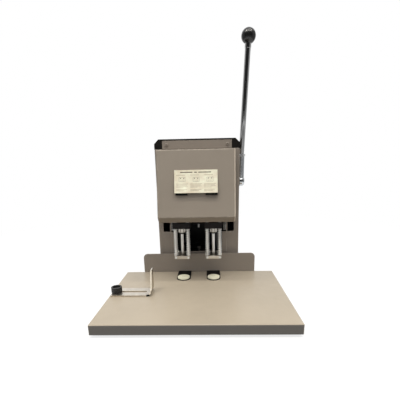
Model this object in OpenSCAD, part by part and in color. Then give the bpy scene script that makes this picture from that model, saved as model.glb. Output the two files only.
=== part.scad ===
// Two-spindle lever-fed paper drill for a desk, with a sheet steel table, a column and a leaning cover.
// All sizes are millimetres. Depths run back from the table's front edge, heights up from the table top.

/* [Table] */
// Width of the table, left to right
table_w = 362; // [330:1:420]
// Depth of the table, front edge to back edge
table_d = 262; // [240:1:320]
// Height of the folded lip round the table
lip_h = 19; // [18:0.5:26]
// Thickness of the table's sheet steel
table_sheet = 2; // [1.5:0.1:2.5]
// Outside radius of the table's folded edges
fold_r = 3; // [2.8:0.1:5]
// Thickness of the base plate under table and column
base_t = 4; // [3:0.5:5]
// Diameter of a rubber foot
foot_d = 24; // [18:1:30]
// Height of a rubber foot
foot_h = 6; // [5:0.5:10]
// Distance of a foot's centre from the edges
foot_inset = 26; // [20:1:34]

/* [Gauges] */
// Width of the back gauge
back_gauge_w = 274; // [220:1:320]
// Height of the back gauge above the table
back_gauge_h = 46; // [30:1:50]
// Thickness of the back gauge
back_gauge_t = 2.5; // [2:0.1:4]
// Corner radius of the back gauge
back_gauge_r = 10; // [4:0.5:16]
// Width of the side gauge, front to back
side_gauge_w = 39; // [30:1:50]
// Height of the side gauge's upright leg
side_gauge_h = 48; // [30:1:60]
// Thickness of the side gauge's strip
side_gauge_t = 2.5; // [2:0.1:3]
// Distance of the paper stop from the centre line
side_gauge_x = 94; // [92:1:110]
// Depth of the side gauge's slot line
side_gauge_y = 132; // [100:1:170]
// Sideways travel of the side gauge
side_gauge_travel = 52; // [20:1:52]
// Diameter of the side gauge's clamp knob
gauge_knob_d = 22; // [16:0.5:23]
// Height of the side gauge's clamp knob
gauge_knob_h = 11; // [10:0.5:20]
// Diameter of the clamp knob's stud
stud_d = 6; // [5:0.5:7]

/* [Column] */
// Width of the column
column_w = 197; // [192:1:220]
// Gap between the table's back edge and the column's front
column_gap = 18; // [16:1:22]
// Depth of the column, front wall to rear cover
column_d = 157; // [150:1:180]
// Height of the column's steel shell
column_h = 292; // [291:0.5:300]
// Thickness of the column's sheet steel
column_sheet = 2; // [1.5:0.1:2.5]
// Height of the plastic top cap
cap_h = 22; // [18:0.5:26]
// Chamfer along the cap's side edges
cap_chamfer = 10; // [6:0.5:12]
// Wall of the plastic top cap
cap_wall = 3; // [2:0.25:4]
// Width of the grey plate in the cap's front
fascia_w = 160; // [150:1:168]
// Height of the grey plate in the cap's front
fascia_h = 18.5; // [14:0.5:18.5]
// Width of the opening that the carriage passes through
opening_w = 135; // [130:1:136]
// Sill height of that opening
opening_sill = 47; // [44:1:50]
// Lintel height of that opening
opening_top = 240; // [230:1:260]
// Width of a side window
window_w = 16; // [8:0.5:16]
// Sill height of a side window
window_sill = 97.5; // [80:0.5:110]
// Distance between the side windows' centres
window_pitch = 157; // [157:1:162]
// Thickness of an inner side frame
frame_t = 5; // [4:0.5:6]
// Height of the lower bridge's underside
bridge_z = 30; // [28:1:32]
// Thickness of a bridge plate
bridge_t = 8; // [6:0.5:8]

/* [Front cover] */
// Width of the front cover
cover_w = 160.6; // [158:0.2:164]
// Height of the cover's top
cover_top = 286.4; // [284:0.2:290]
// Height of the cover's lower front edge
cover_low = 151.4; // [148:0.2:156]
// Reach of the cover's top in front of the column
cover_reach_top = 90; // [86:1:96]
// Reach of the cover's lower edge in front of the column
cover_reach_low = 114.4; // [106:0.2:118]
// Chamfer under the cover's lower front edge
cover_chamfer = 12; // [8:0.5:16]
// Width of the bare instruction plate
plate_w = 88; // [60:1:110]
// Height of the bare instruction plate
plate_h = 49; // [30:1:60]
// Height of the instruction plate's centre
plate_z = 222; // [200:1:240]

/* [Drill heads] */
// Distance between the two drills
hole_pitch = 70; // [68:1:72]
// Distance of the drill row in front of the column
drill_reach = 66; // [62:0.5:69]
// Working stroke of the carriage
stroke = 48; // [30:0.5:48]
// Height of the presser plates' underside at rest
presser_z = 53; // [53:0.5:56]
// Width of a presser plate
presser_w = 35; // [34:0.5:38]
// Depth of a presser plate
presser_d = 38; // [34:0.5:40]
// Thickness of a presser plate
presser_t = 7; // [5:0.5:8]
// Upward travel of a presser plate in the carriage
presser_travel = 46; // [20:0.5:46]
// Sideways distance of a presser rod from its drill
rod_side = 13.8; // [13.5:0.1:14.5]
// Distance of the presser rods in front of the drill row
rod_front = 14; // [13.5:0.1:14.5]
// Diameter of a presser rod
rod_d = 5; // [4:0.25:5]
// Wire diameter of a presser spring
spring_wire = 1.3; // [1:0.1:1.4]
// Outside diameter of a presser spring
spring_od = 8; // [7.8:0.1:8.4]
// Turns of a presser spring
spring_turns = 12; // [8:1:12]
// Height of the bearing block's underside
block_z = 122; // [121.8:0.1:126]
// Outside diameter of a hollow drill
bit_d = 6; // [5:0.25:7]
// Diameter of a chuck
chuck_d = 16; // [14:0.5:18]
// Length of a chuck
chuck_l = 14; // [12:0.5:14]
// Width of an anvil bar
anvil_w = 32; // [30:0.5:36]
// Thickness of an anvil bar
anvil_t = 1.6; // [1.4:0.1:2.5]
// Diameter of a drill disc
disc_d = 28; // [20:0.5:28]
// Height of a drill disc's top
disc_top = 4.6; // [3.6:0.1:4.8]

/* [Drive] */
// Diameter of the guide posts
post_d = 16; // [12:0.5:16]
// Distance between the guide posts
post_pitch = 96; // [94:1:100]
// Depth of the guide posts behind the column's front
post_back = 32; // [31:0.5:34]
// Diameter of the lever shaft
shaft_d = 16; // [12:0.5:18]
// Depth of the lever shaft behind the column's front
shaft_back = 80; // [80:0.5:84]
// Height of the lever shaft
shaft_z = 213; // [208:0.5:216]
// Module of the rack and its pinion
rack_module = 2; // [2:0.5:2]
// Teeth on the lever pinion
pinion_teeth = 34; // [34:1:34]
// Diameter of the motor
motor_d = 64; // [56:1:66]
// Length of the motor
motor_l = 60; // [40:1:62]
// Module of the spindle gears
gear_module = 1; // [1:0.5:1]
// Teeth on a spindle gear
spindle_teeth = 60; // [58:2:62]
// Teeth on the motor pinion
motor_teeth = 30; // [28:1:32]
// Turns of a return spring
return_turns = 18; // [12:1:18]

/* [Lever] */
// Diameter of the lever rod
lever_d = 13.5; // [11:0.5:14]
// Diameter of the ball knob
ball_d = 32.5; // [28:0.5:38]
// Distance from the shaft to the ball's centre
lever_l = 320; // [260:1:340]
// Width of the lever hub
hub_w = 17.5; // [14:0.5:18]
// Length of the lever hub above the shaft
hub_l = 62; // [50:1:75]
// Forward lean of the lever at rest
lever_lean = 6; // [0:1:12]
// Outward lean of the lever rod
rod_lean = 2; // [0:0.5:4]

/* [Hidden] */
$fn = 64;
small = 0.01;
over = 1;
fit_gap = 0.05;
disc_gap = 0.1;
seat_gap = 0.2;
slip_gap = 0.3;

// Mains inlet
inlet_x = -50;
inlet_z = 84;
inlet_body = [27, 20];
inlet_flange = [44, 30];
inlet_flange_t = 3;
inlet_depth = 24;
inlet_floor = 3;
inlet_socket = [21, 14];
inlet_pin = [2, 4];
inlet_pin_l = 17;
inlet_pins = [[-5, -2], [0, 2], [5, -2]];

// Overall frame: the origin lies on the floor, under the middle of the bounding box
column_front = table_d + column_gap;
column_rear = column_front + column_d;
drill_row = column_front - drill_reach;
overall_d = column_rear + inlet_flange_t;
front_y = -overall_d / 2;
table_z = foot_h + lip_h;
base_top = base_t - lip_h;

// Screws
screw_d = 4;
screw_hole_d = screw_d + 2 * fit_gap;
head_d = 7.5;
head_h = 2;
screw_grip = 1;

// Feet and anvils
foot_recess_d = 12;
foot_recess_h = 3;
foot_places = [for (s = [-1, 1]) for (p = [[table_w / 2 - foot_inset, foot_inset],
  [column_w / 2 - foot_inset, column_rear - foot_inset]]) [s * p[0], p[1]]];
anvil_floor = 1;
disc_low = anvil_floor + disc_gap;

// Column inside
frame_gap = 0.5;
post_x = post_pitch / 2;
post_y = column_front + post_back;
shaft_y = column_front + shaft_back;
frame_x = column_w / 2 - column_sheet - frame_t - frame_gap;
frame_in_front = 10;
frame_in_rear = 12;
frame_drop = 2;
frame_front = column_front + frame_in_front;
frame_rear = column_rear - frame_in_rear;
frame_top = column_h - frame_drop;
bridge_low_top = bridge_z + bridge_t;
bridge_drop = 12.5;
bridge_d = 40;
bridge_high_z = column_h - bridge_drop;
bridge_front = post_y - bridge_d / 2;
bridge_rear = post_y + bridge_d / 2;
bush_od = shaft_d + 6;
bush_flange_d = bush_od + 4;
bush_flange_t = 2;
shaft_hole_d = shaft_d + 4;
rear_flange_w = 12;
rear_flange_x = column_w / 2 - column_sheet - rear_flange_w / 2;
rear_cover_z = 41;
seam = 1;
rear_lap = 5;
rear_lap_t = 1.5;
rear_lap_w = 168;
louvre_w = 90;
louvre_h = 5;
louvre_rise = 13;
louvre_count = 6;
louvre_drop = 30;
louvre_low = shaft_z - louvre_drop;
fascia_t = 1.5;
fascia_sink = 1;
fascia_lift = 0.2;
fascia_screw_x = 70;
tab_d = 18;
tab_low = cover_low + 4;
tab_high = cover_top - 8;
tab_screw_reach = 8;
switch_size = [10, 28, 16];
switch_back = 14;
switch_drop = 8;
button_d = 3;
button_y = 6;
cover_screw_in = 20;
cover_screw_z = [cover_low + cover_screw_in, cover_top - cover_screw_in];
rear_screw_in = 16;
rear_screw_z = [rear_cover_z + rear_screw_in, column_h - rear_screw_in];
gauge_screw_x = [44, 120];
gauge_screw_z = -7;
gauge_foot_z = -14;

// Cover profile
cover_t = 2;
cover_lean = (cover_reach_low - cover_reach_top) / (cover_top - cover_low);
lean_angle = atan(cover_lean);
cover_skin = cover_t / cos(lean_angle);
chamfer_skin = cover_t * sqrt(2);
lip_rise = (chamfer_skin - cover_skin) / (1 + cover_lean);
cover_low_y = column_front - cover_reach_low;
cover_top_y = column_front - cover_reach_top;
cover_bottom = cover_low - cover_chamfer;
plate_t = 0.8;

// Carriage
drill_x = hole_pitch / 2;
rack_pitch_r = rack_module * pinion_teeth / 2;
rack_line = shaft_y - rack_pitch_r;
rack_w = 16;
pinion_w = 14;
rack_bar = 11;
rack_drop = 53;
rack_top_gap = 2;
rack_low = shaft_z - rack_drop;
rack_high = bridge_high_z - rack_top_gap;
web_rear = rack_line - rack_bar - 1.25 * rack_module;
web_t = 10;
web_front = web_rear - web_t;
sleeve_low = 140;
sleeve_high = 200;
sleeve_bush_d = post_d + 4;
sleeve_wall = 4;
sleeve_d = sleeve_bush_d + 2 * sleeve_wall;
neck_w = 100;
neck_low = 150;
shield_reach = 30;
shield_t = 12;
shield_front = column_front - shield_reach;
shield_rear = shield_front + shield_t;
shield_w = 120;
block_w = 38;
block_t = 13;
block_top = block_z + block_t;
block_front = drill_row - rod_front - 7;
housing_d = 28;
rib_w = 16;
housing_top = sleeve_high;
bearing_od = 21;
bearing_h = 5;
spindle_d = 12;
spindle_hole_d = spindle_d + 2;
nose_d = 8;
nose_l = 10;
drill_bore_d = 4;
gear_t = 7;
gear_low = housing_top + 2;
gear_high = gear_low + gear_t;
deck_low = gear_high + 1;
deck_t = 6;
deck_top = deck_low + deck_t;
deck_reach = 17;
deck_tail = 10;
deck_front = drill_row - deck_reach;
deck_rear = shield_rear + deck_tail;
gear_r = gear_module * spindle_teeth / 2;
motor_pinion_r = gear_module * motor_teeth / 2;
motor_back = sqrt(pow(gear_r + motor_pinion_r, 2) - pow(drill_x, 2));
motor_y = drill_row + motor_back;
motor_shaft_d = 8;
motor_shaft_low = gear_low - 4;
motor_bore_l = 20;
motor_end_h = 8;
motor_step = 7;
motor_end_d = motor_d - 2 * motor_step;
motor_screw_r = 30;
motor_screw_turns = [30, 150, 270];
motor_thread_l = 8;
head_pocket_h = 4 * head_h;
pocket_r = motor_pinion_r + gear_module + 2;
drive_phase = 0;

// Pressers
presser_top = presser_z + presser_t;
presser_hole_d = bit_d + 1;
rod_head_d = 8.6;
rod_head_h = 4;
rod_seat = presser_z + 1;
rod_y = drill_row - rod_front;
presser_front = rod_y - 5;
presser_r = 4.2;
edge_h = 1.5;
edge_wall = 0.15;
chuck_neck_d = 9;
chuck_neck_h = 3;
chuck_edge = 0.8;
spring_r = (spring_od - spring_wire) / 2;
chuck_gap = 0.5;
chuck_top = block_z - chuck_gap;
chuck_low = chuck_top - chuck_l;
bit_tip = presser_z + seat_gap;

// Return springs and stop
return_wire = 1.3;
return_od = 8;
return_r = (return_od - return_wire) / 2;
return_in = 2.7;
return_back = 10;
return_x = opening_w / 2 - return_in;
return_y = column_front + return_back;
return_low = 98;
return_coil_h = 54;
lug_w = 8;
lug_t = 4;
lug_arm_t = 6;
lug_arm_rise = 10;
lug_arm_top = sleeve_low + lug_arm_rise;
lug_root_w = return_x - post_x;
lug_root_x = (return_x + post_x) / 2;
stop_y = return_y;
stop_pin_d = 5;
stop_pin_low = 106;
stop_pin_seat = 15;
stop_head_d = 10;
stop_head_h = 6;
stop_foot_d = 8;
stop_top = stop_pin_low - stroke - 2 * seat_gap;

// Chip drawer
drawer_w = 2 * frame_x - 1;
drawer_wall = 1.5;
drawer_floor = base_top + slip_gap;
drawer_head_gap = 3;
drawer_in = 16;
drawer_top = bridge_z - drawer_head_gap;
drawer_front = column_front + drawer_in;
drawer_panel_t = column_sheet - slip_gap;
drawer_grip_block = 14;
drawer_grip_d = 30;
drawer_grip_z = 8;
drawer_grip_down = 10;
drawer_grip_up = 12;
drawer_grip_low = drawer_grip_z - drawer_grip_down;
drawer_grip_high = drawer_grip_z + drawer_grip_up;

// Lever
hub_gap = 2.5;
hub_x = column_w / 2 + hub_gap;
hub_mid = hub_x + hub_w / 2;
hub_boss_d = 24;
hub_boss_flat = 6;
hub_boss_in = 3;
hub_bar_d = lever_d + 3;
rod_end_d = 10;
nut_af = 17;
nut_h = 6;
nut_lift = 0.5;
rod_sunk = 18;
rod_shoulder = nut_lift + nut_h + seat_gap;
ball_z = lever_l - hub_l;
rod_collar_d = lever_d + 1.5;
rod_collar_l = 9;
ball_seat = 2;
ball_seat_z = ball_z - ball_d / 2 + ball_seat;

// Side gauge
gauge_bend_r = 6;
gauge_shoulder = 12;
gauge_leg_d = 16;
knob_x = -(table_w / 2 - gauge_knob_d / 2 - 1);
arm_end = knob_x - 8;
slot_w = stud_d + 2 * slip_gap;
slot_end = max(knob_x + side_gauge_travel, -side_gauge_x - gauge_bend_r - side_gauge_t - slot_w);
knob_low = side_gauge_t + 2 * seat_gap;
knob_dish_d = gauge_knob_d - 6;
knob_dish_h = 4;
knob_flutes = 18;
flute_d = 2.4;
flute_out = 0.6;

// Colours
warm_grey = [0.53, 0.49, 0.44];
pale_table = [0.72, 0.68, 0.61];
jet = [0.06, 0.06, 0.06];
steel = [0.74, 0.74, 0.72];
dark_steel = [0.35, 0.35, 0.36];
cream = [0.93, 0.89, 0.77];
bronze = [0.62, 0.47, 0.27];

// Moves from the table's front edge and top surface to the overall frame
module on_table() {
  translate([0, front_y, table_z]) children();
}

// A box between two corners
module block(low, high) {
  translate(low) cube(high - low);
}

// A cylinder along X, from x at a depth and height
module cross_bar(x, length, y, z, d) {
  translate([x, y, z]) rotate([0, 90, 0]) cylinder(h = length, d = d);
}

// A cylinder along Y, from y at a place and height
module through_bar(x, y, z, length, d) {
  translate([x, y, z]) rotate([-90, 0, 0]) cylinder(h = length, d = d);
}

// A flat outline with round corners, centred
module round_rect(w, d, r) {
  square([w - 2 * r, d], center = true);
  square([w, d - 2 * r], center = true);
  for (x = [-1, 1], y = [-1, 1])
    translate([x * (w / 2 - r), y * (d / 2 - r)]) circle(r = r);
}

// A lip's outline, hanging down from zero, with its top corners rounded
module lip_outline(w, h, r) {
  translate([-w / 2, -h]) square([w, h - r]);
  translate([r - w / 2, -h]) square([w - 2 * r, h]);
  for (x = [-1, 1])
    translate([x * (w / 2 - r), -r]) circle(r = r);
}

// A block under zero with round top edges and round upright corners, over the table's plan
module tray_block(inset, drop, r) {
  w = table_w - 2 * inset;
  d = table_d - 2 * inset;
  translate([0, table_d / 2, -inset]) intersection() {
    translate([0, d / 2, 0]) rotate([90, 0, 0]) linear_extrude(d) lip_outline(w, drop, r);
    translate([-w / 2, 0, 0]) rotate([90, 0, 90]) linear_extrude(w) lip_outline(d, drop, r);
    translate([0, 0, -drop]) linear_extrude(drop) round_rect(w, d, r);
  }
}

// The outline of a spur gear with straight-sided teeth, tooth centred on the X axis
module gear_outline(teeth, m) {
  pitch = 360 / teeth;
  root = m * teeth / 2 - 1.25 * m;
  tip = m * teeth / 2 + 0.9 * m;
  polygon([for (i = [0:teeth - 1], c = [[root, -0.36], [tip, -0.12], [tip, 0.12], [root, 0.36]])
    c[0] * [cos((i + c[1]) * pitch), sin((i + c[1]) * pitch)]]);
}

// Turn of a driven gear that meets a driver's teeth, for a line of centres at an angle from the driven gear
function mesh_turn(line, driver_teeth, driver_turn, teeth) =
  line + (180 - driver_teeth * (driver_turn - line - 180)) / teeth;

// A pan-head screw along +Z with its head under zero
module pan_screw(length) {
  translate([0, 0, -head_h]) cylinder(h = head_h, d = head_d);
  cylinder(h = length, d = screw_d);
}

// Stations of a helical wire: place, direction of the wire, direction away from the spring's axis
function coil_stations(r, turns, rise) = [for (i = [0:8 * turns])
  let (a = 45 * i, climb = rise / (turns * 2 * PI * r))
    [[r * cos(a), r * sin(a), rise * i / (8 * turns)], [-sin(a), cos(a), climb], [cos(a), sin(a), 0]]];

// Stations of a spring's straight end and its quarter bend, upwards into the coil's start
function foot_stations(r, bend, run) = concat([[[r, -bend, -bend - run], [0, 0, 1], [1, 0, 0]]],
  [for (a = [0:30:60]) [[r, -bend * cos(a), bend * sin(a) - bend], [0, sin(a), cos(a)], [1, 0, 0]]]);

// Stations of the bend and the straight end above a coil that ends in line with its start
function head_stations(r, rise, bend, run) = concat(
  [for (a = [60:-30:0]) [[r, bend * cos(a), rise + bend - bend * sin(a)], [0, sin(a), cos(a)], [1, 0, 0]]],
  [[[r, bend, rise + bend + run], [0, 0, 1], [1, 0, 0]]]);

// All stations of a spring whose ends run straight, the lower one by a wire's thickness
function spring_stations(r, turns, rise, wire, top_run) = concat(foot_stations(r, wire, wire),
  coil_stations(r, turns, rise), head_stations(r, rise, wire, top_run));

// Least gap between parts of the wire that lie more than half a turn apart
function least_gap(stations, wire) = min([for (i = [0:len(stations) - 7], j = [i + 6:len(stations) - 1])
  norm(stations[i][0] - stations[j][0])]) - wire;

// One unbroken six-sided tube along stations
module wire_tube(stations, wire) {
  sides = 6;
  last = len(stations) - 1;
  points = [for (s = stations) let (along = s[1] / norm(s[1]), across = cross(along, s[2]))
    for (k = [0:sides - 1]) s[0] + wire / 2 * (cos(k * 60) * s[2] + sin(k * 60) * across)];
  walls = [for (i = [0:last - 1], k = [0:sides - 1])
    let (a = i * sides + k, b = i * sides + (k + 1) % sides)
      for (f = [[a, b + sides, b], [a, a + sides, b + sides]]) f];
  caps = [for (k = [1:sides - 2]) for (f = [[0, k, k + 1], [last * sides, last * sides + k + 1,
    last * sides + k]]) f];
  polyhedron(points, concat(walls, caps));
}

presser_rise = block_z - presser_top - 4 * spring_wire - 2 * seat_gap;
presser_coil = spring_stations(spring_r, spring_turns, presser_rise, spring_wire, spring_wire);
return_run = bridge_high_z - return_low - return_coil_h - 3 * return_wire - 2 * seat_gap;
return_coil = spring_stations(return_r, return_turns, return_coil_h, return_wire, return_run);
echo(presser_spring_gap = least_gap(presser_coil, spring_wire));
echo(return_spring_gap = least_gap(return_coil, return_wire));

module table_pan() color(pale_table) on_table() difference() {
  tray_block(0, lip_h, fold_r);
  tray_block(table_sheet, lip_h, fold_r - table_sheet);
  block([-column_w / 2 - slip_gap, table_d - table_sheet - over, -lip_h - over],
    [column_w / 2 + slip_gap, table_d + over, base_top + slip_gap]);
  for (s = [-1, 1], x = gauge_screw_x)
    through_bar(s * x, table_d - table_sheet - over, gauge_screw_z, table_sheet + 2 * over, screw_hole_d);
  translate([knob_x, side_gauge_y, -table_sheet - over])
    cylinder(h = table_sheet + 2 * over, d = stud_d + 2 * fit_gap);
}

module base_plate() color(dark_steel) on_table() difference() {
  union() {
    inset = table_sheet + slip_gap;
    block([inset - table_w / 2, inset, -lip_h], [table_w / 2 - inset, table_d - inset, base_top]);
    block([-column_w / 2, table_d - inset - over, -lip_h], [column_w / 2, column_rear, base_top]);
  }
  for (p = foot_places)
    translate([p[0], p[1], -lip_h - over]) cylinder(h = base_t + 2 * over, d = screw_hole_d);
}

module rubber_feet() color(jet) on_table() for (p = foot_places)
  translate([p[0], p[1], -lip_h - foot_h]) difference() {
    cylinder(h = foot_h, d = foot_d);
    translate([0, 0, -over]) cylinder(h = foot_recess_h + over, d = foot_recess_d);
    cylinder(h = foot_h + over, d = screw_hole_d);
  }

module foot_screws() color(steel) on_table() for (p = foot_places)
  translate([p[0], p[1], foot_recess_h - lip_h - foot_h]) pan_screw(foot_h - foot_recess_h + base_t);

module anvil_block() color(dark_steel) on_table() block(
  [-drill_x - anvil_w / 2, drill_row - anvil_w / 2, base_top],
  [drill_x + anvil_w / 2, table_d - fold_r - slip_gap, -table_sheet]);

module anvil(side) color(jet) on_table() translate([side * drill_x, drill_row, 0]) difference() {
  union() {
    cylinder(h = anvil_t, d = anvil_w);
    block([-anvil_w / 2, 0, 0], [anvil_w / 2, table_d - drill_row - slip_gap, anvil_t]);
  }
  translate([0, 0, anvil_floor]) cylinder(h = anvil_t, d = disc_d + 2 * disc_gap);
}

module anvil_left() anvil(-1);

module anvil_right() anvil(1);

module drill_disc(side) color(cream) on_table() translate([side * drill_x, drill_row, disc_low])
  cylinder(h = disc_top - disc_low, d = disc_d);

module drill_disc_left() drill_disc(-1);

module drill_disc_right() drill_disc(1);

module back_gauge() color(warm_grey) on_table() translate([0, table_d, 0]) difference() {
  union() {
    block([-back_gauge_w / 2, 0, gauge_foot_z],
      [back_gauge_w / 2, back_gauge_t, back_gauge_h - back_gauge_r]);
    block([back_gauge_r - back_gauge_w / 2, 0, gauge_foot_z],
      [back_gauge_w / 2 - back_gauge_r, back_gauge_t, back_gauge_h]);
    for (s = [-1, 1])
      through_bar(s * (back_gauge_w / 2 - back_gauge_r), 0, back_gauge_h - back_gauge_r, back_gauge_t,
        2 * back_gauge_r);
  }
  for (s = [-1, 1], x = gauge_screw_x)
    through_bar(s * x, -over, gauge_screw_z, back_gauge_t + 2 * over, screw_hole_d);
}

// The strip's bent outline, seen from the front, with its stop face at zero
module gauge_strip() {
  arm = -side_gauge_x - arm_end;
  bend = gauge_bend_r + side_gauge_t;
  translate([-arm, 0]) square([arm - bend, side_gauge_t]);
  translate([-side_gauge_t, bend]) square([side_gauge_t, side_gauge_h - bend]);
  translate([-bend, bend]) intersection() {
    difference() {
      circle(r = bend);
      circle(r = gauge_bend_r);
    }
    translate([0, -bend]) square(bend);
  }
}

// What is cut from the front of the side gauge's leg, which narrows upwards from a shoulder at its bend
module leg_clearance() {
  front = side_gauge_y - side_gauge_w / 2;
  leg_front = side_gauge_y + side_gauge_w / 2 - gauge_leg_d;
  shoulder = seat_gap + gauge_bend_r + side_gauge_t;
  top = seat_gap + side_gauge_h;
  translate([-side_gauge_x, 0, 0]) across(4 * gauge_bend_r)
    polygon([[front - over, shoulder], [front + gauge_shoulder, shoulder], [leg_front, top],
      [leg_front, top + over], [front - over, top + over]]);
}

module side_gauge() color(steel) on_table() difference() {
  translate([-side_gauge_x, side_gauge_y + side_gauge_w / 2, seat_gap])
    rotate([90, 0, 0]) linear_extrude(side_gauge_w) gauge_strip();
  leg_clearance();
  for (x = [knob_x, slot_end])
    translate([x, side_gauge_y, 0]) cylinder(h = side_gauge_t + over, d = slot_w);
  block([knob_x, side_gauge_y - slot_w / 2, 0],
    [slot_end, side_gauge_y + slot_w / 2, side_gauge_t + over]);
}

module gauge_knob() color(jet) on_table() translate([knob_x, side_gauge_y, knob_low]) difference() {
  cylinder(h = gauge_knob_h, d = gauge_knob_d);
  translate([0, 0, gauge_knob_h - knob_dish_h]) cylinder(h = knob_dish_h + over, d = knob_dish_d);
  for (i = [0:knob_flutes - 1])
    rotate(i * 360 / knob_flutes) translate([gauge_knob_d / 2 + flute_out, 0, -over])
      cylinder(h = gauge_knob_h + 2 * over, d = flute_d, $fn = 24);
  translate([0, 0, -over]) cylinder(h = gauge_knob_h / 2 + over, d = stud_d);
}

module gauge_stud() color(steel) on_table() translate([knob_x, side_gauge_y, -table_sheet])
  cylinder(h = table_sheet + knob_low + gauge_knob_h / 2, d = stud_d);

// Holes through the front cover's sides and the column's tabs
module cover_screw_holes() for (s = [-1, 1], z = cover_screw_z)
  cross_bar(s * cover_w / 2 - tab_screw_reach, 2 * tab_screw_reach, column_front - tab_d / 2, z,
    screw_hole_d);

// The column's plan: front and two sides, with flanges turned in at the rear
module column_plan() {
  inner_w = column_w - 2 * column_sheet;
  translate([0, column_d / 2]) difference() {
    round_rect(column_w, column_d, fold_r);
    round_rect(inner_w, column_d - 2 * column_sheet, fold_r - column_sheet);
    translate([-inner_w / 2 + rear_flange_w, 0]) square([inner_w - 2 * rear_flange_w, column_d]);
    translate([-column_w / 2 - over, column_d / 2 - column_sheet])
      square([column_w + 2 * over, column_sheet + over]);
    translate([-inner_w / 2, column_d / 2 - 2 * column_sheet])
      square([inner_w, column_sheet - slip_gap]);
  }
  for (s = [-1, 1])
    translate([s * (inner_w / 2 - rear_flange_w / 2) - rear_flange_w / 2, column_d - 2 * column_sheet])
      square([rear_flange_w, column_sheet]);
}

module column_shell() color(warm_grey) on_table() difference() {
  union() {
    translate([0, column_front, base_top]) linear_extrude(column_h - base_top) column_plan();
    for (s = [-1, 1])
      translate([s * (cover_w / 2 - cover_t - column_sheet / 2) - column_sheet / 2, column_front - tab_d,
        tab_low]) cube([column_sheet, tab_d + small, tab_high - tab_low]);
  }
  block([-opening_w / 2, column_front - over, opening_sill],
    [opening_w / 2, column_front + column_sheet + over, opening_top]);
  for (s = [-1, 1])
    block([s * window_pitch / 2 - window_w / 2, column_front - over, window_sill],
      [s * window_pitch / 2 + window_w / 2, column_front + column_sheet + over, cover_bottom]);
  block([-column_w / 2 + column_sheet, column_rear - 2 * column_sheet - over, base_top - over],
    [column_w / 2 - column_sheet, column_rear + over, rear_cover_z - seam]);
  cross_bar(column_w / 2 - column_sheet - over, column_sheet + 2 * over, shaft_y, shaft_z, shaft_hole_d);
  cover_screw_holes();
  for (s = [-1, 1], z = rear_screw_z)
    through_bar(s * rear_flange_x, column_rear - 2 * column_sheet - over, z, column_sheet + 2 * over,
      screw_hole_d);
}

// The rear cover, with louvre slots that let the motor's heat out and a strip behind the drawer's seam
module rear_cover() color(warm_grey) on_table() difference() {
  union() {
    block([-column_w / 2, column_rear - column_sheet, rear_cover_z],
      [column_w / 2, column_rear, column_h]);
    block([-rear_lap_w / 2, column_rear - column_sheet - rear_lap_t, rear_cover_z - rear_lap],
      [rear_lap_w / 2, column_rear - column_sheet + small, rear_cover_z + rear_lap]);
  }
  for (i = [0:louvre_count - 1])
    block([-louvre_w / 2, column_rear - column_sheet - over, louvre_low + i * louvre_rise],
      [louvre_w / 2, column_rear + over, louvre_low + i * louvre_rise + louvre_h]);
  block([inlet_x - inlet_body[0] / 2, column_rear - column_sheet - over, inlet_z - inlet_body[1] / 2],
    [inlet_x + inlet_body[0] / 2, column_rear + over, inlet_z + inlet_body[1] / 2]);
  for (s = [-1, 1], z = rear_screw_z)
    through_bar(s * rear_flange_x, column_rear - column_sheet - over, z, column_sheet + 2 * over,
      screw_hole_d);
}

// The cap's outline from the front, with chamfered top corners
module cap_outline(inset, h) {
  half = column_w / 2 - inset;
  cut = cap_chamfer - inset * (2 - sqrt(2));
  polygon([[-half, 0], [-half, h - cut], [cut - half, h], [half - cut, h], [half, h - cut], [half, 0]]);
}

module top_cap() color(jet) on_table() translate([0, column_front, column_h]) difference() {
  translate([0, column_d, 0]) rotate([90, 0, 0]) linear_extrude(column_d) cap_outline(0, cap_h);
  translate([0, column_d - cap_wall, -small]) rotate([90, 0, 0]) linear_extrude(column_d - 2 * cap_wall)
    cap_outline(cap_wall, cap_h - cap_wall);
  block([-fascia_w / 2 - seat_gap, -over, -over],
    [fascia_w / 2 + seat_gap, fascia_sink, fascia_lift + fascia_h + seat_gap]);
  for (s = [-1, 1])
    through_bar(s * fascia_screw_x, 0, fascia_lift + fascia_h / 2, cap_wall + over, screw_hole_d);
}

module top_fascia() color(warm_grey) on_table()
  translate([0, column_front + fascia_sink - fascia_t, column_h]) difference() {
    block([-fascia_w / 2, 0, fascia_lift], [fascia_w / 2, fascia_t, fascia_lift + fascia_h]);
    for (s = [-1, 1])
      through_bar(s * fascia_screw_x, -over, fascia_lift + fascia_h / 2, fascia_t + 2 * over, screw_hole_d);
  }

// The cover's side outline: depth along X, height along Y
module cover_outline() polygon([[column_front, cover_bottom], [column_front, cover_top],
  [cover_top_y, cover_top], [cover_low_y, cover_low], [cover_low_y + cover_chamfer, cover_bottom]]);

module cover_hollow() {
  roof = cover_top - cover_t;
  polygon([[column_front + over, cover_bottom - over], [column_front + over, roof],
    [cover_low_y + cover_skin + (roof - cover_low) * cover_lean, roof],
    [cover_low_y + chamfer_skin - lip_rise, cover_low + lip_rise],
    [cover_low_y + chamfer_skin + cover_chamfer + over, cover_bottom - over]]);
}

// Pulls a side outline out to a width across the middle
module across(width) translate([-width / 2, 0, 0]) rotate([90, 0, 90]) linear_extrude(width) children();

module front_cover() color(warm_grey) on_table() difference() {
  across(cover_w) cover_outline();
  across(cover_w - 2 * cover_t) cover_hollow();
  cover_screw_holes();
}

module instruction_plate() color(cream) on_table()
  translate([0, cover_low_y + (plate_z - cover_low) * cover_lean, plate_z]) rotate([-lean_angle, 0, 0])
    block([-plate_w / 2, -plate_t, -plate_h / 2], [plate_w / 2, 0, plate_h / 2]);

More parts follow.
